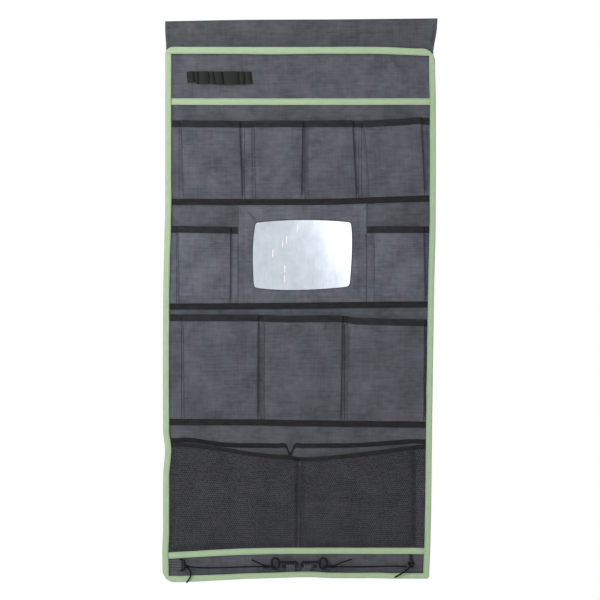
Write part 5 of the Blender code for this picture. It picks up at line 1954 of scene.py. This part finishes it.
@dataclass
class Hook:
    """A moulded hook: an oval eye, a shank, a curl and the bar that lies in the tab."""

    name: str
    node: str
    body: Body
    eye_x: float
    curl_x: float
    bar_end: float
    inward: float
    rod: float = 0.0022
    eye_half_width: float = 0.0065
    eye_straight: float = 0.0030
    eye_z: float = -0.9460
    shank_z: float = -0.9435
    bar_bevel: float = 0.0008
    voxel: float = 0.00038

    def make_eye(self) -> bpy.types.Object:
        """Makes the oval eye from a ring that is drawn apart."""
        bpy.ops.mesh.primitive_torus_add(
            location=(self.eye_x, CORD_DEPTH, self.eye_z),
            rotation=(math.pi / 2.0, 0.0, 0.0),
            major_radius=self.eye_half_width,
            minor_radius=self.rod,
            major_segments=48,
            minor_segments=20,
        )
        eye = bpy.context.active_object
        bpy.ops.object.transform_apply(location=True, rotation=True, scale=True)
        for side in (1.0, -1.0):
            bpy.ops.object.mode_set(mode="EDIT")
            bpy.ops.mesh.select_mode(type="VERT")
            bpy.ops.mesh.select_all(action="DESELECT")
            bpy.ops.object.mode_set(mode="OBJECT")
            for vertex in eye.data.vertices:
                vertex.select = side * (vertex.co.z - self.eye_z) > self.rod * 0.1
            bpy.ops.object.mode_set(mode="EDIT")
            bpy.ops.transform.translate(value=(0.0, 0.0, side * self.eye_straight))
            bpy.ops.object.mode_set(mode="OBJECT")
        return eye

    def select_end(self, piece: bpy.types.Object, x: float, z: float) -> None:
        """Selects the flat end face at a place, in edit mode."""
        bpy.ops.object.mode_set(mode="EDIT")
        bpy.ops.mesh.select_mode(type="FACE")
        bpy.ops.mesh.select_all(action="DESELECT")
        bpy.ops.object.mode_set(mode="OBJECT")
        for face in piece.data.polygons:
            at_place = abs(face.center.x - x) < 1e-4 and abs(face.center.z - z) < 1e-4
            face.select = at_place and len(face.vertices) > 4
        bpy.ops.object.mode_set(mode="EDIT")

    def make_rod(self) -> bpy.types.Object:
        """Makes the shank, the curl and the bar from one cylinder, spun and drawn out."""
        start = self.eye_x + self.inward * self.eye_half_width
        bpy.ops.mesh.primitive_cylinder_add(
            vertices=20,
            radius=self.rod,
            depth=abs(self.curl_x - start),
            location=((start + self.curl_x) / 2.0, CORD_DEPTH, self.shank_z),
            rotation=(0.0, math.pi / 2.0, 0.0),
        )
        rod = bpy.context.active_object
        bpy.ops.object.transform_apply(location=True, rotation=True, scale=True)
        self.select_end(rod, self.curl_x, self.shank_z)
        centre = (self.curl_x, CORD_DEPTH, (self.shank_z + CORD_LINE) / 2.0)
        bpy.ops.mesh.spin(steps=14, angle=-self.inward * math.pi, center=centre, axis=(0.0, 1.0, 0.0))
        bpy.ops.object.mode_set(mode="OBJECT")
        self.select_end(rod, self.curl_x, CORD_LINE)
        along = (self.bar_end - self.curl_x, 0.0, 0.0)
        bpy.ops.mesh.extrude_region_move(TRANSFORM_OT_translate={"value": along})
        bpy.ops.mesh.bevel(offset=self.bar_bevel, segments=3, affect="EDGES")
        bpy.ops.object.mode_set(mode="OBJECT")
        return rod

    def build(self) -> None:
        """Makes and dresses the hook."""
        bpy.ops.object.select_all(action="DESELECT")
        eye = self.make_eye()
        bpy.ops.object.select_all(action="DESELECT")
        hook = self.make_rod()
        eye.select_set(True)
        hook.select_set(True)
        bpy.context.view_layer.objects.active = hook
        bpy.ops.object.join()
        hook.name = self.name
        hook.data.name = self.name
        apply_modifier(hook, "REMESH", voxel_size=self.voxel)
        apply_modifier(hook, "SMOOTH", iterations=5)
        hook.data.materials.clear()
        hook.data.materials.append(Finish.PLASTIC.material())
        smooth(hook, 80.0)
        hand_over(hook, self.body, Slot.BLACK_PLASTIC, self.node)


@dataclass
class Knot:
    """A knot in a level cord, seen as close turns round the cord's line."""

    length: float
    radius: float = 0.0034
    turns: float = 3.0
    points: int = 72

    def build(self, name: str, x: float, body: Body) -> None:
        """Makes and dresses the knot's turns round a place on the cord line."""
        centre = Vector((x, CORD_DEPTH, CORD_LINE))
        along, side, up = Vector((1.0, 0.0, 0.0)), Vector((0.0, 1.0, 0.0)), Vector((0.0, 0.0, 1.0))
        run = self.length - 2.0 * CORD_RADIUS
        orbit = self.radius - CORD_RADIUS
        line = []
        for step in range(self.points + 1):
            share = step / self.points
            angle = 2.0 * math.pi * self.turns * share
            reach = orbit * (0.75 + 0.25 * math.sin(math.pi * share))
            turn = side * math.cos(angle) + up * math.sin(angle)
            line.append(centre + along * run * (share - 0.5) + turn * reach)
        hand_over(make_tube(name, line, CORD_RADIUS, Finish.CORD), body, Slot.BLACK_CORD)


@dataclass
class CordSet:
    """The shock cords with their loops, knots and tails. Routes are distances from a cord's own start."""

    spacing: float = 0.0012
    ring_spacing: float = 0.0008
    shortest_declared: float = 0.030
    left_route: tuple[Triple, ...] = (
        (0.0, 0.0, 0.0), (0.012, -0.0002, -0.0014), (0.028, -0.0003, -0.0022), (0.046, -0.0003, -0.0023),
        (0.064, -0.0002, -0.0018), (0.082, 0.0, -0.0012), (0.100, 0.0001, -0.0006),
        (0.114, 0.0001, -0.0002), (0.1331, 0.0, 0.0),
    )
    right_route: tuple[Triple, ...] = (
        (0.0, 0.0, 0.0), (0.014, 0.0001, -0.0004), (0.032, 0.0001, -0.0006), (0.050, 0.0, -0.0005),
        (0.070, -0.0001, 0.0001), (0.090, -0.0002, 0.0006), (0.110, -0.0001, 0.0006), (0.1258, 0.0, 0.0),
    )
    left_loop_tail: tuple[Triple, ...] = (
        (0.0, 0.0, 0.0), (0.0050, -0.0004, -0.0050), (0.0080, -0.0002, -0.0110),
        (0.0070, 0.0004, -0.0190), (0.0035, 0.0008, -0.0250), (0.0012, 0.0010, -0.0285),
    )
    right_loop_tail: tuple[Triple, ...] = (
        (0.0, 0.0, 0.0), (-0.0050, -0.0004, -0.0050), (-0.0120, -0.0002, -0.0105),
        (-0.0200, 0.0004, -0.0155), (-0.0265, 0.0008, -0.0190),
    )
    left_hook_tail: tuple[Triple, ...] = (
        (0.0, 0.0, 0.0012), (-0.006, 0.0003, 0.0044), (-0.013, 0.0008, 0.0075), (-0.022, 0.0012, 0.0115),
    )
    right_hook_tail: tuple[Triple, ...] = (
        (0.0, 0.0, 0.0012), (0.007, 0.0003, 0.0046), (0.016, 0.0008, 0.0080), (0.030, 0.0012, 0.0122),
    )

    def shifted(self, start_x: float, route: Sequence[Triple]) -> list[Vector]:
        """Returns a route from its start on the cord line, as a smooth line."""
        corners = [Vector((start_x, CORD_DEPTH, CORD_LINE)) + Vector(offset) for offset in route]
        return smooth_path(corners, self.spacing)

    def span(self, name: str, node: str, start_x: float, route: Sequence[Triple]) -> None:
        """Makes one shock cord between its end knot and its hook."""
        path = self.shifted(start_x, route)
        cord = make_tube(name, path, CORD_RADIUS, Finish.CORD)
        hand_over(cord, Body.ORGANIZER, Slot.BLACK_CORD, node)

    def tail(self, name: str, start_x: float, route: Sequence[Triple], body: Body) -> None:
        """Makes the loose end that comes out of a knot."""
        path = self.shifted(start_x, route)
        tail = make_tube(name, path, CORD_RADIUS, Finish.CORD)
        hand_over(tail, body, Slot.BLACK_CORD)

    def ring(self, name: str, corners: Sequence[Sequence[float]], body: Body, node: str) -> None:
        """Makes a closed loop of cord."""
        path = smooth_path(corners, self.ring_spacing, closed=True)
        ring = make_tube(name, path, CORD_RADIUS, Finish.CORD, closed=True)
        hand_over(ring, body, Slot.BLACK_CORD, node)

    def left_end(self) -> None:
        """Makes the left cord's loop through its tab, its knot and its tail."""
        tab, strand, y = -0.2133, -0.2063, -0.0042
        low, high, bend = -0.9577, -0.9407, 0.0009
        shoulder = bend * 2.0
        corners = [
            (tab, y, low),
            (tab, y, high),
            (tab + 0.0010, y - 0.0004, high + bend * 0.8),
            (tab + shoulder, y - 0.0012, high + bend),
            (strand - 0.0010, y - 0.0030, high + bend * 0.6),
            (strand, CORD_DEPTH + 0.0008, high - 0.0010),
            (strand + 0.0006, CORD_DEPTH, CORD_LINE + 0.0026),
            (strand + 0.0006, CORD_DEPTH, CORD_LINE - 0.0026),
            (strand, CORD_DEPTH + 0.0008, low + 0.0010),
            (strand - 0.0010, y - 0.0030, low - bend * 0.6),
            (tab + shoulder, y - 0.0012, low - bend),
            (tab + 0.0010, y - 0.0004, low - bend * 0.8),
        ]
        self.ring("left_cord_loop", corners, Body.ORGANIZER, "left_end_knot")
        Knot(0.0066).build("left_loop_knot", -0.2030, Body.ORGANIZER)
        self.tail("left_loop_tail", -0.2030, self.left_loop_tail, Body.ORGANIZER)

    def right_end(self) -> None:
        """Makes the right cord's loop through its tape, its knot and its tail."""
        x, half, y = 0.1985, 0.0030, -0.0037
        top, bend = -0.9452, 0.0024
        corners = [
            (x - half, y, top),
            (x + half, y, top),
            (x + half + bend * 0.7, y - 0.0010, top - bend * 0.4),
            (x + half + bend * 0.6, y - 0.0032, top - bend * 1.2),
            (x + 0.0016, CORD_DEPTH, CORD_LINE + 0.0006),
            (x - 0.0016, CORD_DEPTH, CORD_LINE + 0.0006),
            (x - half - bend * 0.6, y - 0.0032, top - bend * 1.2),
            (x - half - bend * 0.7, y - 0.0010, top - bend * 0.4),
        ]
        self.ring("right_cord_ring", corners, Body.ORGANIZER, "right_end_knot")
        Knot(0.0082, radius=0.0028, turns=2.5).build("right_loop_knot", 0.1990, Body.ORGANIZER)
        self.tail("right_loop_tail", 0.1965, self.right_loop_tail, Body.ORGANIZER)

    def hook_end(
        self, side: str, body: Body, knot_x: float, loop_x: float, inward: float, route: Sequence[Triple]
    ) -> None:
        """Makes the loop round a hook's eye, its knot and its tail.

        Args:
            side: left or right.
            body: the hook's body.
            knot_x: the middle of the knot.
            loop_x: the middle of the loop.
            inward: 1 where the hook points to the right, -1 where it points to the left.
            route: the tail's route.
        """
        reach, deep = 0.0052, 0.0040
        corners = [
            (loop_x + inward * reach, CORD_DEPTH, CORD_LINE),
            (loop_x + inward * reach * 0.5, CORD_DEPTH - deep * 0.85, CORD_LINE),
            (loop_x - inward * reach * 0.6, CORD_DEPTH - deep * 0.6, CORD_LINE),
            (loop_x - inward * reach, CORD_DEPTH, CORD_LINE),
            (loop_x - inward * reach * 0.6, CORD_DEPTH + deep * 0.6, CORD_LINE),
            (loop_x + inward * reach * 0.5, CORD_DEPTH + deep * 0.85, CORD_LINE),
        ]
        self.ring(f"{side}_hook_loop", corners, body, f"{side}_hook_knot")
        Knot(0.0124, turns=3.5).build(f"{side}_hook_knot_turns", knot_x, body)
        self.tail(f"{side}_hook_tail", knot_x - inward * 0.0031, route, body)

    def build(self) -> None:
        """Makes all the cords."""
        self.span("left_cord", "left_shock_cord", -0.1997, self.left_route)
        self.span("right_cord", "right_shock_cord", 0.0646, self.right_route)
        self.left_end()
        self.right_end()
        self.hook_end("left", Body.LEFT_HOOK, -0.0601, -0.0501, 1.0, self.left_hook_tail)
        self.hook_end("right", Body.RIGHT_HOOK, 0.0581, 0.0481, -1.0, self.right_hook_tail)


# The studio


def stage(name: str, data: bpy.types.ID) -> bpy.types.Object:
    """Returns a new object of the studio, which is no part of the organizer."""
    piece = bpy.data.objects.new(name, data)
    bpy.context.scene.collection.objects.link(piece)
    return piece


def make_plane(name: str, corners: Sequence[Triple], material: bpy.types.Material) -> bpy.types.Object:
    """Makes a flat square of the studio."""
    mesh = bpy.data.meshes.new(name)
    mesh.from_pydata(corners, [], [(0, 1, 2, 3)])
    mesh.materials.append(material)
    return stage(name, mesh)


@dataclass
class Studio:
    """The floor, the light, the white surroundings and the camera."""

    camera_distance: float = 3.2
    camera_height: float = -0.4759
    lens: float = 107.3
    fill: float = 0.45
    key_power: float = 14.0
    key_place: Triple = (-1.0, -1.1, 0.1)
    key_aim: Triple = (0.0, 0.0, -0.45)
    key_size: float = 1.3
    floor_height: float = -1.35
    floor_half: float = 1.6
    card_depth: float = -4.0
    card_sides: Pair = (0.035, 0.90)
    card_heights: Pair = (-0.62, 0.05)
    card_slant: Triple = (1.0, 0.0, 0.46)
    card_edge: Pair = (-0.050, 0.014)
    card_light: Pair = (1.0, 2.2)

    def camera(self) -> None:
        """Makes the camera straight in front of the panel."""
        data = bpy.data.cameras.new("camera")
        data.lens = self.lens
        camera = stage("camera", data)
        camera.location = (0.0, -self.camera_distance, self.camera_height)
        camera.rotation_euler = (math.pi / 2.0, 0.0, 0.0)
        bpy.context.scene.camera = camera

    def key(self) -> None:
        """Makes the large soft light at the left."""
        data = bpy.data.lights.new("key", "AREA")
        data.energy = self.key_power
        data.size = self.key_size
        light = stage("key", data)
        light.location = self.key_place
        aim = Vector(self.key_aim) - Vector(self.key_place)
        light.rotation_euler = aim.to_track_quat("-Z", "Y").to_euler()

    def world(self) -> None:
        """Makes white surroundings, dimmer as light on the object than as a background."""
        world = bpy.data.worlds.new("studio")
        bpy.context.scene.world = world
        world.use_nodes = True
        tree = world.node_tree
        rays = add_node(tree, "LightPath", {}).outputs
        seen = rays["Is Camera Ray"]
        for name in ("Is Glossy Ray", "Is Transmission Ray"):
            seen = add_node(tree, "Math", {0: seen, 1: rays[name]}, operation="MAXIMUM").outputs["Value"]
        inputs = {"Value": seen, "To Min": self.fill, "To Max": 1.0}
        background = tree.nodes["Background"].inputs
        tree.links.new(add_node(tree, "MapRange", inputs).outputs["Result"], background["Strength"])
        background["Color"].default_value = (1.0, 1.0, 1.0, 1.0)

    def floor(self) -> None:
        """Makes the plain pale floor."""
        graph = Graph("pale floor")
        graph.surface(0.9, 0.1)
        graph.shader.inputs["Base Color"].default_value = (0.9, 0.9, 0.9, 1.0)
        graph.shader.inputs["Emission Color"].default_value = (1.0, 1.0, 1.0, 1.0)
        rays = graph.add("LightPath").outputs
        seen = graph.calculate("MAXIMUM", rays["Is Camera Ray"], rays["Is Glossy Ray"])
        glow = graph.calculate("MULTIPLY", seen, 0.5)
        graph.tree.links.new(glow, graph.shader.inputs["Emission Strength"])
        half, z = self.floor_half, self.floor_height
        corners = [(-half, -half, z), (half, -half, z), (half, half, z), (-half, half, z)]
        make_plane("floor", corners, graph.material)

    def mirror_card(self) -> None:
        """Makes the bright card behind the camera that the right half of the mirror shows."""
        material = bpy.data.materials.new("bright card")
        material.use_nodes = True
        tree = material.node_tree
        tree.nodes.clear()
        place = add_node(tree, "TexCoord", {}).outputs["Object"]
        slant = add_node(tree, "VectorMath", {0: place, 1: self.card_slant}, operation="DOT_PRODUCT")
        inputs = {
            "Value": slant.outputs["Value"],
            "From Min": self.card_edge[0],
            "From Max": self.card_edge[1],
            "To Min": self.card_light[0],
            "To Max": self.card_light[1],
        }
        ramp = add_node(tree, "MapRange", inputs, interpolation_type="SMOOTHSTEP")
        glow = add_node(tree, "Emission", {"Strength": ramp.outputs["Result"]})
        add_node(tree, "OutputMaterial", {"Surface": glow.outputs["Emission"]})
        (left, right), (low, high), y = self.card_sides, self.card_heights, self.card_depth
        corners = [(left, y, low), (right, y, low), (right, y, high), (left, y, high)]
        card = make_plane("mirror_card", corners, material)
        card.visible_diffuse = False
        card.visible_camera = False
        card.visible_shadow = False

    def build(self) -> None:
        """Makes the whole studio."""
        self.camera()
        self.key()
        self.world()
        self.floor()
        self.mirror_card()
        bpy.context.scene.view_settings.view_transform = "Standard"


def main() -> None:
    """Dresses the organizer piece by piece and sets its picture."""
    logging.basicConfig(level=logging.INFO, format="%(message)s")
    Studio().build()
    CordSet().build()
    Tabs().build()
    Hook("left_moulded_hook", "left_hook", Body.LEFT_HOOK, -0.0436, -0.0086, -0.0323, 1.0).build()
    Hook("right_moulded_hook", "right_hook", Body.RIGHT_HOOK, 0.0416, 0.0066, 0.0303, -1.0).build()
    Panel().build()
    make_bands()
    ToolLoops().build()
    make_rows()
    Mirror().build()
    EdgeTape().build()
    Sleeve().build()


if __name__ == "__main__":
    main()
